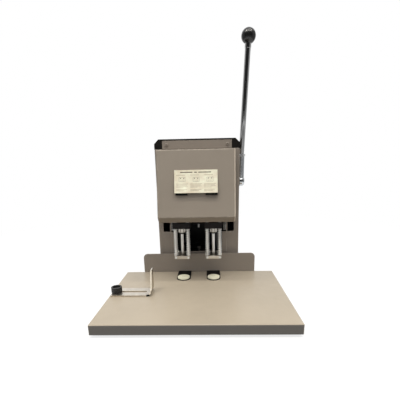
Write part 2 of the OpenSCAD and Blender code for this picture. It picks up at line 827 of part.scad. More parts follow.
module housing_screws() color(steel) on_table() {
  for (s = [-1, 1], z = cover_screw_z)
    translate([s * cover_w / 2, column_front - tab_d / 2, z]) rotate([0, -s * 90, 0])
      pan_screw(cover_t + column_sheet + screw_grip);
  for (s = [-1, 1], z = rear_screw_z)
    translate([s * rear_flange_x, column_rear, z]) rotate([90, 0, 0])
      pan_screw(2 * column_sheet + screw_grip);
  for (s = [-1, 1])
    translate([s * fascia_screw_x, column_front + fascia_sink - fascia_t,
      column_h + fascia_lift + fascia_h / 2]) rotate([-90, 0, 0]) pan_screw(cap_wall);
  for (s = [-1, 1], x = gauge_screw_x)
    translate([s * x, table_d + back_gauge_t, gauge_screw_z]) rotate([90, 0, 0])
      pan_screw(back_gauge_t + table_sheet + screw_grip);
}

module side_frame(side) color(dark_steel) on_table() difference() {
  block([side * (frame_x + frame_t / 2) - frame_t / 2, frame_front, base_top],
    [side * (frame_x + frame_t / 2) + frame_t / 2, frame_rear, frame_top]);
  cross_bar(side * (frame_x + frame_t / 2) - frame_t, 2 * frame_t, shaft_y, shaft_z, bush_od);
}

module side_frame_left() side_frame(-1);

module side_frame_right() side_frame(1);

module bridge(z) color(dark_steel) on_table() difference() {
  block([-frame_x, bridge_front, z], [frame_x, bridge_rear, z + bridge_t]);
  for (s = [-1, 1])
    translate([s * post_x, post_y, z - over]) cylinder(h = bridge_t + 2 * over, d = post_d);
}

module lower_bridge() bridge(bridge_z);

module upper_bridge() bridge(bridge_high_z);

module guide_posts() color(steel) on_table() for (s = [-1, 1])
  translate([s * post_x, post_y, bridge_z]) cylinder(h = bridge_high_z + bridge_t - bridge_z, d = post_d);

module shaft_bushes() color(bronze) on_table() for (s = [-1, 1]) difference() {
  union() {
    cross_bar(s * (frame_x + frame_t / 2) - frame_t / 2, frame_t, shaft_y, shaft_z, bush_od);
    cross_bar(s * (frame_x - bush_flange_t / 2) - bush_flange_t / 2, bush_flange_t, shaft_y, shaft_z,
      bush_flange_d);
  }
  cross_bar(s * frame_x - 2 * frame_t, 4 * frame_t, shaft_y, shaft_z, shaft_d + 2 * fit_gap);
}

module depth_stop() color(steel) on_table() translate([0, stop_y, 0]) {
  block([-stop_head_d, -stop_foot_d, bridge_z], [stop_head_d, bridge_front - stop_y, bridge_low_top]);
  translate([0, 0, bridge_low_top]) cylinder(h = stop_top - bridge_low_top, d = stop_pin_d);
  translate([0, 0, stop_top - stop_head_h]) cylinder(h = stop_head_h, d = stop_head_d);
}

// Snap-action switch on the left frame, that the lever's shaft works
module micro_switch() color(jet) on_table()
  translate([-frame_x, shaft_y + switch_back, shaft_z - switch_drop]) {
    cube(switch_size);
    translate([switch_size[0] / 2, button_y, switch_size[2]]) cylinder(h = button_d, d = button_d, $fn = 24);
  }

module power_inlet() color(jet) on_table() translate([inlet_x, column_rear, inlet_z]) {
  difference() {
    union() {
      block([-inlet_flange[0] / 2, 0, -inlet_flange[1] / 2],
        [inlet_flange[0] / 2, inlet_flange_t, inlet_flange[1] / 2]);
      block([seat_gap - inlet_body[0] / 2, -inlet_depth, seat_gap - inlet_body[1] / 2],
        [inlet_body[0] / 2 - seat_gap, small, inlet_body[1] / 2 - seat_gap]);
    }
    block([-inlet_socket[0] / 2, inlet_floor - inlet_depth, -inlet_socket[1] / 2],
      [inlet_socket[0] / 2, inlet_flange_t + over, inlet_socket[1] / 2]);
  }
  for (p = inlet_pins)
    translate([p[0] - inlet_pin[0] / 2, inlet_floor - inlet_depth - small, p[1] - inlet_pin[1] / 2])
      cube([inlet_pin[0], inlet_pin_l, inlet_pin[1]]);
}

module chip_drawer() color(jet) on_table() difference() {
  union() {
    block([-drawer_w / 2, drawer_front, drawer_floor], [drawer_w / 2, column_rear, drawer_top]);
    block([-column_w / 2, column_rear - drawer_panel_t, drawer_floor],
      [column_w / 2, column_rear, rear_cover_z - seam]);
  }
  block([drawer_wall - drawer_w / 2, drawer_front + drawer_wall, drawer_floor + drawer_wall],
    [drawer_w / 2 - drawer_wall, column_rear - drawer_grip_block, drawer_top + over]);
  intersection() {
    through_bar(0, column_rear - drawer_grip_block, drawer_grip_z, drawer_grip_block + over, drawer_grip_d);
    block([-drawer_grip_d, column_rear - drawer_panel_t - over, drawer_floor],
      [drawer_grip_d, column_rear + over, drawer_grip_z]);
  }
  block([-drawer_grip_d / 2, column_rear - drawer_grip_block + drawer_wall, drawer_grip_low],
    [drawer_grip_d / 2, column_rear - drawer_panel_t, drawer_grip_high]);
}

module carriage() color(jet) on_table() difference() {
  union() {
    block([-post_x, web_front, sleeve_low], [post_x, web_rear, sleeve_high]);
    block([-neck_w / 2, shield_rear - small, neck_low], [neck_w / 2, web_front + small, sleeve_high]);
    block([-shield_w / 2, shield_front, block_z], [shield_w / 2, shield_rear, deck_top]);
    block([-shield_w / 2, deck_front, deck_low], [shield_w / 2, shield_front + small, deck_top]);
    block([-neck_w / 2, shield_rear - small, deck_low], [neck_w / 2, deck_rear, deck_top]);
    for (s = [-1, 1]) {
      translate([s * post_x, post_y, sleeve_low]) cylinder(h = sleeve_high - sleeve_low, d = sleeve_d);
      translate([s * drill_x, drill_row, block_z]) cylinder(h = housing_top - block_z, d = housing_d);
      block([s * drill_x - rib_w / 2, drill_row, block_top],
        [s * drill_x + rib_w / 2, shield_front + small, housing_top]);
      block([s * drill_x - block_w / 2, block_front, block_z],
        [s * drill_x + block_w / 2, shield_front + small, block_top]);
      block([s * return_x - lug_w / 2, web_front - lug_arm_t, return_low - lug_t],
        [s * return_x + lug_w / 2, web_front, lug_arm_top]);
      block([s * lug_root_x - lug_root_w / 2, web_front - lug_arm_t, sleeve_low],
        [s * lug_root_x + lug_root_w / 2, web_front, lug_arm_top]);
      block([s * return_x - lug_w / 2, return_y - lug_w / 2, return_low - lug_t],
        [s * return_x + lug_w / 2, web_front, return_low]);
    }
  }
  for (s = [-1, 1]) {
    translate([s * post_x, post_y, sleeve_low - over])
      cylinder(h = sleeve_high - sleeve_low + 2 * over, d = sleeve_bush_d);
    translate([s * drill_x, drill_row, block_z - over])
      cylinder(h = housing_top - block_z + 2 * over, d = spindle_hole_d);
    translate([s * drill_x, drill_row, block_z - over]) cylinder(h = bearing_h + over, d = bearing_od);
    translate([s * drill_x, drill_row, housing_top - bearing_h])
      cylinder(h = bearing_h + over, d = bearing_od);
    translate([s * drill_x, drill_row, deck_low - over]) cylinder(h = deck_t + 2 * over, d = spindle_hole_d);
    for (r = [-1, 1])
      translate([s * drill_x + r * rod_side, rod_y, block_z - over])
        cylinder(h = block_t + 2 * over, d = rod_d + 2 * fit_gap);
  }
  translate([0, motor_y, motor_shaft_low - 2 * over])
    cylinder(h = deck_low - motor_shaft_low + 2 * over, r = pocket_r);
  translate([0, motor_y, deck_low - over]) cylinder(h = deck_t + 2 * over, d = motor_shaft_d + 6);
  for (a = motor_screw_turns)
    translate([motor_screw_r * cos(a), motor_y + motor_screw_r * sin(a), deck_low - over])
      cylinder(h = deck_t + 2 * over, d = screw_hole_d);
  for (s = [-1, 1])
    translate([s * motor_screw_r * cos(motor_screw_turns[0]) - head_d / 2 - over,
      motor_y + motor_screw_r * sin(motor_screw_turns[0]) - head_d, deck_low - head_pocket_h])
        cube([head_d + 2 * over, 3 * head_d, head_pocket_h]);
  translate([0, stop_y, neck_low - over]) cylinder(h = stop_pin_seat + over, d = stop_pin_d);
}

module carriage_bushes() color(bronze) on_table() for (s = [-1, 1])
  translate([s * post_x, post_y, sleeve_low]) difference() {
    cylinder(h = sleeve_high - sleeve_low, d = sleeve_bush_d);
    translate([0, 0, -over]) cylinder(h = sleeve_high - sleeve_low + 2 * over, d = post_d + 2 * fit_gap);
  }

// The rack's outline from the side: depth along X, height along Y, a tooth centred on the shaft's height
module rack_outline() {
  pitch = PI * rack_module;
  root = rack_line - 1.25 * rack_module;
  tip = rack_line + 0.9 * rack_module;
  first = ceil((rack_low - shaft_z) / pitch + 0.5);
  last = floor((rack_high - shaft_z) / pitch - 0.5);
  polygon(concat([[web_rear, rack_low], [root, rack_low]],
    [for (i = [first:last], c = [[root, -0.36], [tip, -0.12], [tip, 0.12], [root, 0.36]])
      [c[0], shaft_z + (i + c[1]) * pitch]],
    [[root, rack_high], [web_rear, rack_high]]));
}

module rack() color(steel) on_table() across(rack_w) rack_outline();

module stop_pin() color(steel) on_table() translate([0, stop_y, stop_pin_low])
  cylinder(h = neck_low - stop_pin_low + stop_pin_seat, d = stop_pin_d);

module spindle_bearings() color(steel) on_table() for (s = [-1, 1], z = [block_z, housing_top - bearing_h])
  translate([s * drill_x, drill_row, z]) difference() {
    cylinder(h = bearing_h, d = bearing_od);
    translate([0, 0, -over]) cylinder(h = bearing_h + 2 * over, d = spindle_d + 2 * fit_gap);
  }

module motor() color(dark_steel) on_table() translate([0, motor_y, deck_top]) difference() {
  union() {
    cylinder(h = motor_l - motor_end_h, d = motor_d);
    translate([0, 0, motor_l - motor_end_h]) cylinder(h = motor_end_h, d = motor_end_d);
  }
  translate([0, 0, -over]) cylinder(h = motor_bore_l + over, d = motor_shaft_d + 2 * fit_gap);
  for (a = motor_screw_turns)
    translate([motor_screw_r * cos(a), motor_screw_r * sin(a), -over])
      cylinder(h = motor_thread_l + over, d = screw_hole_d);
}

module motor_screws() color(steel) on_table() for (a = motor_screw_turns)
  translate([motor_screw_r * cos(a), motor_y + motor_screw_r * sin(a), deck_low])
    pan_screw(deck_t + motor_thread_l - screw_grip);

module motor_shaft() color(steel) on_table() translate([0, motor_y, motor_shaft_low])
  cylinder(h = deck_top + motor_bore_l - over - motor_shaft_low, d = motor_shaft_d);

module motor_pinion() color(bronze) on_table() translate([0, motor_y, gear_low]) difference() {
  linear_extrude(gear_t) rotate(drive_phase) gear_outline(motor_teeth, gear_module);
  translate([0, 0, -over]) cylinder(h = gear_t + 2 * over, d = motor_shaft_d);
}

module return_springs() color(steel) on_table() for (s = [-1, 1])
  translate([s * return_x, return_y, return_low + seat_gap + 2 * return_wire])
    wire_tube(return_coil, return_wire);

module spindle(side) color(steel) on_table() translate([side * drill_x, drill_row, 0]) difference() {
  union() {
    translate([0, 0, chuck_top]) cylinder(h = gear_high - chuck_top, d = spindle_d);
    translate([0, 0, chuck_top - nose_l]) cylinder(h = nose_l + over, d = nose_d);
  }
  translate([0, 0, chuck_low]) cylinder(h = gear_high - chuck_low + over, d = drill_bore_d);
}

module spindle_left() spindle(-1);

module spindle_right() spindle(1);

module spindle_gear(side) color(dark_steel) on_table() translate([side * drill_x, drill_row, gear_low]) {
  line = side < 0 ? atan2(motor_back, drill_x) : 180 - atan2(motor_back, drill_x);
  difference() {
    linear_extrude(gear_t) rotate(mesh_turn(line, motor_teeth, drive_phase, spindle_teeth))
      gear_outline(spindle_teeth, gear_module);
    translate([0, 0, -over]) cylinder(h = gear_t + 2 * over, d = spindle_d);
  }
}

module spindle_gear_left() spindle_gear(-1);

module spindle_gear_right() spindle_gear(1);

module chuck(side) color(steel) on_table() translate([side * drill_x, drill_row, chuck_low]) difference() {
  union() {
    cylinder(h = chuck_l, d = chuck_neck_d);
    translate([0, 0, chuck_neck_h]) cylinder(h = chuck_edge, d1 = chuck_d - 2 * chuck_edge, d2 = chuck_d);
    translate([0, 0, chuck_neck_h + chuck_edge])
      cylinder(h = chuck_l - chuck_neck_h - chuck_edge, d = chuck_d);
  }
  translate([0, 0, chuck_l - nose_l]) cylinder(h = nose_l + over, d = nose_d);
  translate([0, 0, -over]) cylinder(h = chuck_l, d = bit_d);
}

module chuck_left() chuck(-1);

module chuck_right() chuck(1);

module drill_bit(side) color(steel) on_table() translate([side * drill_x, drill_row, bit_tip]) difference() {
  cylinder(h = chuck_low + chuck_l - nose_l - bit_tip, d = bit_d);
  translate([0, 0, -over]) cylinder(h = chuck_low + chuck_l - bit_tip, d = drill_bore_d);
  translate([0, 0, -small]) cylinder(h = edge_h, d1 = bit_d - 2 * edge_wall, d2 = drill_bore_d);
}

module drill_bit_left() drill_bit(-1);

module drill_bit_right() drill_bit(1);

module presser_plate(side) color(steel) on_table() translate([side * drill_x, 0, presser_z]) difference() {
  translate([0, presser_front + presser_d / 2, 0]) linear_extrude(presser_t)
    round_rect(presser_w, presser_d, presser_r);
  translate([0, drill_row, -over]) cylinder(h = presser_t + 2 * over, d = presser_hole_d);
  for (r = [-1, 1])
    translate([r * rod_side, rod_y, rod_seat - presser_z]) cylinder(h = presser_t, d = rod_d);
}

module presser_plate_left() presser_plate(-1);

module presser_plate_right() presser_plate(1);

module presser_rods(side) color(steel) on_table() for (r = [-1, 1])
  translate([side * drill_x + r * rod_side, rod_y, 0]) {
    translate([0, 0, rod_seat]) cylinder(h = block_top + rod_head_h - rod_seat, d = rod_d);
    translate([0, 0, block_top + seat_gap]) cylinder(h = rod_head_h, d = rod_head_d);
  }

module presser_rods_left() presser_rods(-1);

module presser_rods_right() presser_rods(1);

module presser_springs(side) color(steel) on_table() for (r = [-1, 1])
  translate([side * drill_x + r * rod_side, rod_y, presser_top + seat_gap + 2 * spring_wire])
    wire_tube(presser_coil, spring_wire);

module presser_springs_left() presser_springs(-1);

module presser_springs_right() presser_springs(1);

module lever_shaft() color(steel) on_table()
  cross_bar(-frame_x - frame_t, frame_x + frame_t + hub_x + hub_w, shaft_y, shaft_z, shaft_d);

module lever_pinion() color(dark_steel) on_table() translate([0, shaft_y, shaft_z]) difference() {
  across(pinion_w) rotate(180 + 180 / pinion_teeth) gear_outline(pinion_teeth, rack_module);
  cross_bar(-rack_w, 2 * rack_w, 0, 0, shaft_d);
}

// Turns what is drawn on the shaft's axis to the lever's lean
module on_lever() on_table() translate([hub_mid, shaft_y, shaft_z]) rotate([lever_lean, 0, 0]) children();

// Half of the boss in section, from the shaft's axis outwards and across the hub's width
module boss_outline() {
  r = hub_boss_d / 2;
  half = hub_w / 2;
  mid = (hub_w + hub_boss_flat) / 4;
  polygon([[0, -half], [r - hub_boss_in, -half], [r - hub_boss_in / 3, -mid], [r, -hub_boss_flat / 2],
    [r, hub_boss_flat / 2], [r - hub_boss_in / 3, mid], [r - hub_boss_in, half], [0, half]]);
}

module lever_hub() color(steel) on_lever() difference() {
  union() {
    rotate([0, 90, 0]) rotate_extrude() boss_outline();
    cylinder(h = hub_l, d = hub_bar_d);
  }
  cross_bar(-hub_w, 2 * hub_w, 0, 0, shaft_d);
  translate([0, 0, hub_l]) rotate([0, rod_lean, 0]) translate([0, 0, -rod_sunk])
    cylinder(h = 2 * rod_sunk, d = rod_end_d);
}

// Turns what is drawn on the hub's top to the rod's outward lean
module on_rod() on_lever() translate([0, 0, hub_l]) rotate([0, rod_lean, 0]) children();

module lever_nut() color(steel) on_rod() translate([0, 0, nut_lift]) difference() {
  cylinder(h = nut_h, d = nut_af / cos(30), $fn = 6);
  translate([0, 0, -over]) cylinder(h = nut_h + 2 * over, d = rod_end_d);
}

module lever_rod() color(steel) on_rod() union() {
  translate([0, 0, -rod_sunk]) cylinder(h = rod_sunk + rod_shoulder + small, d = rod_end_d);
  translate([0, 0, rod_shoulder]) cylinder(h = ball_z - rod_shoulder, d = lever_d);
  translate([0, 0, ball_seat_z - rod_collar_l]) cylinder(h = rod_collar_l, d = rod_collar_d);
}

module lever_knob() color(jet) on_rod() difference() {
  translate([0, 0, ball_z]) sphere(d = ball_d);
  translate([0, 0, ball_z - ball_d]) cylinder(h = ball_d, d = lever_d);
  translate([0, 0, ball_z - ball_d]) cylinder(h = ball_seat_z - ball_z + ball_d, d = rod_collar_d);
}

table_pan();
base_plate();
rubber_feet();
foot_screws();
anvil_block();
anvil_left();
anvil_right();
drill_disc_left();
drill_disc_right();
back_gauge();
side_gauge();
gauge_knob();
gauge_stud();
column_shell();
rear_cover();
top_cap();
top_fascia();
front_cover();
instruction_plate();
housing_screws();
side_frame_left();
side_frame_right();
lower_bridge();
upper_bridge();
guide_posts();
shaft_bushes();
depth_stop();
micro_switch();
power_inlet();
chip_drawer();
carriage();
carriage_bushes();
rack();
stop_pin();
spindle_bearings();
motor();
motor_screws();
motor_shaft();
motor_pinion();
return_springs();
spindle_left();
spindle_right();
spindle_gear_left();
spindle_gear_right();
chuck_left();
chuck_right();
drill_bit_left();
drill_bit_right();
presser_plate_left();
presser_plate_right();
presser_rods_left();
presser_rods_right();
presser_springs_left();
presser_springs_right();
lever_shaft();
lever_pinion();
lever_hub();
lever_nut();
lever_rod();
lever_knob();
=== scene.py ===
# Two-spindle lever-fed paper drill: a warm grey desk machine with a wide table, a column and a long lever.
import math

import bmesh
import bpy
from mathutils import Matrix, Vector


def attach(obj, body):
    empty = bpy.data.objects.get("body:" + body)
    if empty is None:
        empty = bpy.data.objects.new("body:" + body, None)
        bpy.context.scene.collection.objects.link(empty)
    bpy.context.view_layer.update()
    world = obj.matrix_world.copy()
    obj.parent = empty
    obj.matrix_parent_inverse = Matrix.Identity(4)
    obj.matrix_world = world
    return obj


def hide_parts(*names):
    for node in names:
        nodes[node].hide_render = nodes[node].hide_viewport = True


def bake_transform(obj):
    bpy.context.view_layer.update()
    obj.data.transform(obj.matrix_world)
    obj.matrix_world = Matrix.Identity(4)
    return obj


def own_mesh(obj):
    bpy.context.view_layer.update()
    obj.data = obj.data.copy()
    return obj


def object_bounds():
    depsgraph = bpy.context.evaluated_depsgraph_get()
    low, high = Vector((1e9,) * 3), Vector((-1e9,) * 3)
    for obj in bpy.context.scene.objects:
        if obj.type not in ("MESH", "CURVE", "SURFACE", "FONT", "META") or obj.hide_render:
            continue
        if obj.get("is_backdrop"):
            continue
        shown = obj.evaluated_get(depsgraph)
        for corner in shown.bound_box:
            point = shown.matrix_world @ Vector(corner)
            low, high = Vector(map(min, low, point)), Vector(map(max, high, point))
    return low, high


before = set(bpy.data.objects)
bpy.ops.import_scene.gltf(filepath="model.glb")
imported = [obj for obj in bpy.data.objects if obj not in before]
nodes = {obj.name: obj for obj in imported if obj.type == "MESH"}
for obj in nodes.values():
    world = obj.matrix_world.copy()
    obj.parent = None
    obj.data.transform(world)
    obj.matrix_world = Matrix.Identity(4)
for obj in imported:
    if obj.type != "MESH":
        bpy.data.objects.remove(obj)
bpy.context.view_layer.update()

MM = 0.001

# Base plate, feet and foot screws: the plate is sawn from steel, oiled dark, and carries the whole machine.
# Four moulded rubber feet stand under it, each drawn up into the plate by one zinc plated pan-head screw.


def add_node(tree, kind, feeds=None, values=None, **settings):
    """Adds a node, sets its properties and values, links outputs into it, and returns its own outputs."""
    node = tree.nodes.new(kind)
    for key, value in settings.items():
        setattr(node, key, value)
    for socket, value in (values or {}).items():
        node.inputs[socket].default_value = value
    for socket, source in (feeds or {}).items():
        tree.links.new(source, node.inputs[socket])
    return node.outputs


def start_effect(name, sizes, result):
    """Starts a shader group with named inputs and one output, and returns its tree and both ends."""
    tree = bpy.data.node_groups.new(name, "ShaderNodeTree")
    for label, value in sizes.items():
        kind = "NodeSocketVector" if isinstance(value, tuple) else "NodeSocketFloat"
        tree.interface.new_socket(label, in_out="INPUT", socket_type=kind).default_value = value
    tree.interface.new_socket(result, in_out="OUTPUT", socket_type="NodeSocketFloat")
    return tree, tree.nodes.new("NodeGroupInput").outputs, tree.nodes.new("NodeGroupOutput").inputs


def noise_in(tree, vector, scale, detail=3.0, roughness=0.55):
    """A noise value over a vector; the scale is a number or another node's output."""
    linked = isinstance(scale, bpy.types.NodeSocket)
    return add_node(
        tree, "ShaderNodeTexNoise", {"Vector": vector, **({"Scale": scale} if linked else {})},
        {"Detail": detail, "Roughness": roughness, **({} if linked else {"Scale": scale})})[0]


def remap(tree, value, low, high, new_low=0.0, new_high=1.0):
    """A value taken from one range to another, and held inside it."""
    return add_node(
        tree, "ShaderNodeMapRange", {"Value": value},
        {"From Min": low, "From Max": high, "To Min": new_low, "To Max": new_high})[0]


def times(tree, a, b):
    """The product of two values."""
    return add_node(tree, "ShaderNodeMath", {0: a, 1: b}, operation="MULTIPLY")[0]


def object_place(tree):
    """The place on the piece, in metres in its own frame."""
    return add_node(tree, "ShaderNodeTexCoord")["Object"]


def surface_way(tree):
    """The way the surface faces, split into X, Y and Z."""
    return add_node(tree, "ShaderNodeSeparateXYZ", {0: add_node(tree, "ShaderNodeNewGeometry")["Normal"]})


WORN_BEND, WORN_PATCH, MARKED = (0.995, 0.86), (0.42, 0.62), (0.38, 0.68)
DUSTY_LEVEL, DUSTY_FLECK = (0.6, 1.0), (0.5, 0.8)

edge_wear, given, out = start_effect("edge_wear", {"Width": 0.0006, "Patches": 160.0}, "Worn")
rounded = add_node(edge_wear, "ShaderNodeBevel", {"Radius": given["Width"]}, samples=4)[0]
plain = add_node(edge_wear, "ShaderNodeNewGeometry")["Normal"]
agree = add_node(edge_wear, "ShaderNodeVectorMath", {0: rounded, 1: plain}, operation="DOT_PRODUCT")["Value"]
patches = noise_in(edge_wear, object_place(edge_wear), given["Patches"], detail=4.0)
bent = remap(edge_wear, agree, *WORN_BEND)
patchy = remap(edge_wear, patches, *WORN_PATCH)
edge_wear.links.new(times(edge_wear, bent, patchy), out["Worn"])

hand_marks, given, out = start_effect("hand_marks", {"Scale": 18.0}, "Marks")
blotches = noise_in(hand_marks, object_place(hand_marks), given["Scale"], detail=6.0, roughness=0.62)
hand_marks.links.new(remap(hand_marks, blotches, *MARKED), out["Marks"])

settled_dust, given, out = start_effect("settled_dust", {"Scale": 60.0}, "Dust")
level = remap(settled_dust, surface_way(settled_dust)["Z"], *DUSTY_LEVEL)
flecks = noise_in(settled_dust, object_place(settled_dust), given["Scale"], detail=8.0, roughness=0.7)
settled_dust.links.new(times(settled_dust, level, remap(settled_dust, flecks, *DUSTY_FLECK)), out["Dust"])

tool_grain, given, out = start_effect("tool_grain", {"Stretch": (60.0, 900.0, 900.0)}, "Grain")
drawn_out = add_node(
    tool_grain, "ShaderNodeVectorMath", {0: object_place(tool_grain), 1: given["Stretch"]},
    operation="MULTIPLY")[0]
tool_grain.links.new(noise_in(tool_grain, drawn_out, 1.0, roughness=0.6), out["Grain"])

surface_peel, given, out = start_effect("surface_peel", {"Scale": 700.0}, "Height")
peel = noise_in(surface_peel, object_place(surface_peel), given["Scale"], detail=2.0, roughness=0.5)
surface_peel.links.new(peel, out["Height"])


def with_effect(tree, group, **values):
    """Places an effect in a material with its own values, and returns its result."""
    node = tree.nodes.new("ShaderNodeGroup")
    node.node_tree = group
    for label, value in values.items():
        node.inputs[label].default_value = value
    return node.outputs[0]


def blend_colour(tree, share, colour_a, colour_b):
    """Two colours mixed by a share; each is a colour or another node's output."""
    node = tree.nodes.new("ShaderNodeMix")
    node.data_type = "RGBA"
    tree.links.new(share, node.inputs["Factor"])
    for socket, colour in (("A", colour_a), ("B", colour_b)):
        target = next(s for s in node.inputs if s.name == socket and s.type == "RGBA")
        if isinstance(colour, bpy.types.NodeSocket):
            tree.links.new(colour, target)
        else:
            target.default_value = (*colour, 1.0)
    return next(s for s in node.outputs if s.type == "RGBA")


def shade(colour, amount):
    """A colour made darker or lighter by a factor."""
    return tuple(min(1.0, amount * c) for c in colour)


def start_finish(name):
    """A new material, its node tree and its shader."""
    material = bpy.data.materials.new(name)
    material.use_nodes = True
    return material, material.node_tree, material.node_tree.nodes["Principled BSDF"]


def set_relief(tree, shader, height, depth, edge):
    """Bumps the surface by a height in metres, over edges that are rounded by a radius."""
    rounded = add_node(tree, "ShaderNodeBevel", values={"Radius": edge}, samples=6)[0]
    bump = add_node(
        tree, "ShaderNodeBump", {"Height": height, "Normal": rounded},
        {"Distance": depth, "Strength": 1.0})[0]
    tree.links.new(bump, shader.inputs["Normal"])


METAL_DARK, METAL_LIGHT, METAL_WORN, METAL_DULLED = 0.86, 1.08, 1.25, 0.12


def metal_finish(name, colour, roughness, stretch, tarnish=0.8, edge=0.0004, depth=0.000012,
                 metallic=(1.0, 1.0)):
    """Bare or plated metal: grain from its tool, duller and darker where it was handled, bright at its edges.
    Rough plating and cut edges scatter light, so faces and edges each have their own share of metal."""
    material, tree, shader = start_finish(name)
    grain = with_effect(tree, tool_grain, Stretch=stretch)
    marks = with_effect(tree, hand_marks, Scale=35.0)
    worn = with_effect(tree, edge_wear, Width=edge, Patches=300.0)
    grained = blend_colour(tree, grain, shade(colour, METAL_DARK), shade(colour, METAL_LIGHT))
    handled = blend_colour(tree, marks, grained, shade(colour, tarnish))
    tree.links.new(blend_colour(tree, worn, handled, shade(colour, METAL_WORN)), shader.inputs["Base Color"])
    tree.links.new(remap(tree, worn, 0.0, 1.0, *metallic), shader.inputs["Metallic"])
    dulled = remap(tree, marks, 0.0, 1.0, roughness, roughness + METAL_DULLED)
    tree.links.new(dulled, shader.inputs["Roughness"])
    set_relief(tree, shader, grain, depth, edge)
    return material


MOULD_DARK, MOULD_LIGHT, MOULD_SHINE, MOULD_DULLED = 0.85, 1.2, 0.05, 0.1
MOULD_DUST, DUST_GREY = (0.02, 0.12), (0.5, 0.47, 0.42)


def moulded_finish(name, colour, roughness, pebble, depth=0.00004, edge=0.0005, gloss=0.5):
    """Moulded plastic or rubber: a fine pebble from the mould, patches from hands, and dust on its top."""
    material, tree, shader = start_finish(name)
    shader.inputs["Specular IOR Level"].default_value = gloss
    pebbles = with_effect(tree, surface_peel, Scale=pebble)
    marks = with_effect(tree, hand_marks, Scale=45.0)
    dust = with_effect(tree, settled_dust, Scale=220.0)
    toned = blend_colour(tree, marks, shade(colour, MOULD_DARK), shade(colour, MOULD_LIGHT))
    dusty = times(tree, dust, remap(tree, marks, 0.0, 1.0, *MOULD_DUST))
    tree.links.new(blend_colour(tree, dusty, toned, DUST_GREY), shader.inputs["Base Color"])
    dulled = remap(tree, marks, 0.0, 1.0, roughness - MOULD_SHINE, roughness + MOULD_DULLED)
    tree.links.new(dulled, shader.inputs["Roughness"])
    set_relief(tree, shader, pebbles, depth, edge)
    return material


def dress(material, *names):
    """Gives CAD nodes their finish."""
    for name in names:
        nodes[name].data.materials.clear()
        nodes[name].data.materials.append(material)


def put(name, data):
    """A new object at the origin, linked into the scene."""
    made = bpy.data.objects.new(name, data)
    bpy.context.scene.collection.objects.link(made)
    return made


def add_piece(name, mesh, body, stands_for=()):
    """A plain mesh at the origin as a piece of the object, on its body, hiding the CAD nodes it stands for.
    """
    piece = put(name, mesh)
    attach(piece, body)
    if stands_for:
        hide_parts(*stands_for)
    return piece


def grow(tree, seed_mesh, sizes):
    """Runs a geometry tree on a seed mesh with its named inputs, and returns the result as a plain mesh."""
    seed = put(seed_mesh.name + "_seed", seed_mesh)
    modifier = seed.modifiers.new("grow", "NODES")
    modifier.node_group = tree
    for item in tree.interface.items_tree:
        if item.in_out == "INPUT" and item.name in sizes:
            modifier[item.identifier] = sizes[item.name]
    graph = bpy.context.evaluated_depsgraph_get()
    mesh = bpy.data.meshes.new_from_object(
        seed.evaluated_get(graph), preserve_all_data_layers=True, depsgraph=graph)
    bpy.data.objects.remove(seed)
    return mesh


def start_tree(name, sizes):
    """Starts a geometry tree with named inputs, and returns it and both ends."""
    tree = bpy.data.node_groups.new(name, "GeometryNodeTree")
    tree.interface.new_socket("Geometry", in_out="INPUT", socket_type="NodeSocketGeometry")
    for label, kind in sizes.items():
        tree.interface.new_socket(label, in_out="INPUT", socket_type="NodeSocket" + kind)
    tree.interface.new_socket("Geometry", in_out="OUTPUT", socket_type="NodeSocketGeometry")
    return tree, tree.nodes.new("NodeGroupInput").outputs, tree.nodes.new("NodeGroupOutput").inputs


def close_tree(tree, given, out, geometry):
    """Ends a geometry tree: real faces, with their finish."""
    real = add_node(tree, "GeometryNodeRealizeInstances", {"Geometry": geometry})[0]
    done = add_node(tree, "GeometryNodeSetMaterial", {"Geometry": real, "Material": given["Finish"]})[0]
    tree.links.new(done, out["Geometry"])


def to_mesh(bm, name, finish=None, sharp=None):
    """Ends a mesh in the making, with its finish and the angle in degrees from which its edges are sharp."""
    mesh = bpy.data.meshes.new(name)
    bm.to_mesh(mesh)
    bm.free()
    if sharp:
        mesh.set_sharp_from_angle(angle=math.radians(sharp))
    if finish:
        mesh.materials.append(finish)
    return mesh


def turned(name, profile, steps, sharp=None):
    """A mesh turned about Z from a profile of radius and height, closed at both ends on the axis."""
    bm = bmesh.new()
    rings = []
    for radius, height in profile:
        if radius == 0:
            rings.append([bm.verts.new((0, 0, height))])
        else:
            rings.append([bm.verts.new((radius * math.cos(a), radius * math.sin(a), height))
                          for a in (2 * math.pi * i / steps for i in range(steps))])
    for a, b in zip(rings, rings[1:]):
        for i in range(steps):
            ring = [a[i % len(a)], a[(i + 1) % len(a)], b[(i + 1) % len(b)], b[i % len(b)]]
            bm.faces.new(list(dict.fromkeys(ring)))
    bmesh.ops.recalc_face_normals(bm, faces=bm.faces)
    for face in bm.faces:
        face.smooth = True
    return to_mesh(bm, name, sharp=sharp)


HEAD_RADIUS, HEAD_HEIGHT, SHANK_RADIUS, SHANK_LENGTH = 3.8 * MM, 2.0 * MM, 2.0 * MM, 5.5 * MM
RECESS_LENGTH, RECESS_WIDTH, RECESS_DEPTH, RECESS_TAPER = 4.4 * MM, 1.0 * MM, 1.3 * MM, 0.55
SCREW_STEPS, SCREW_SHARP = 24, 35

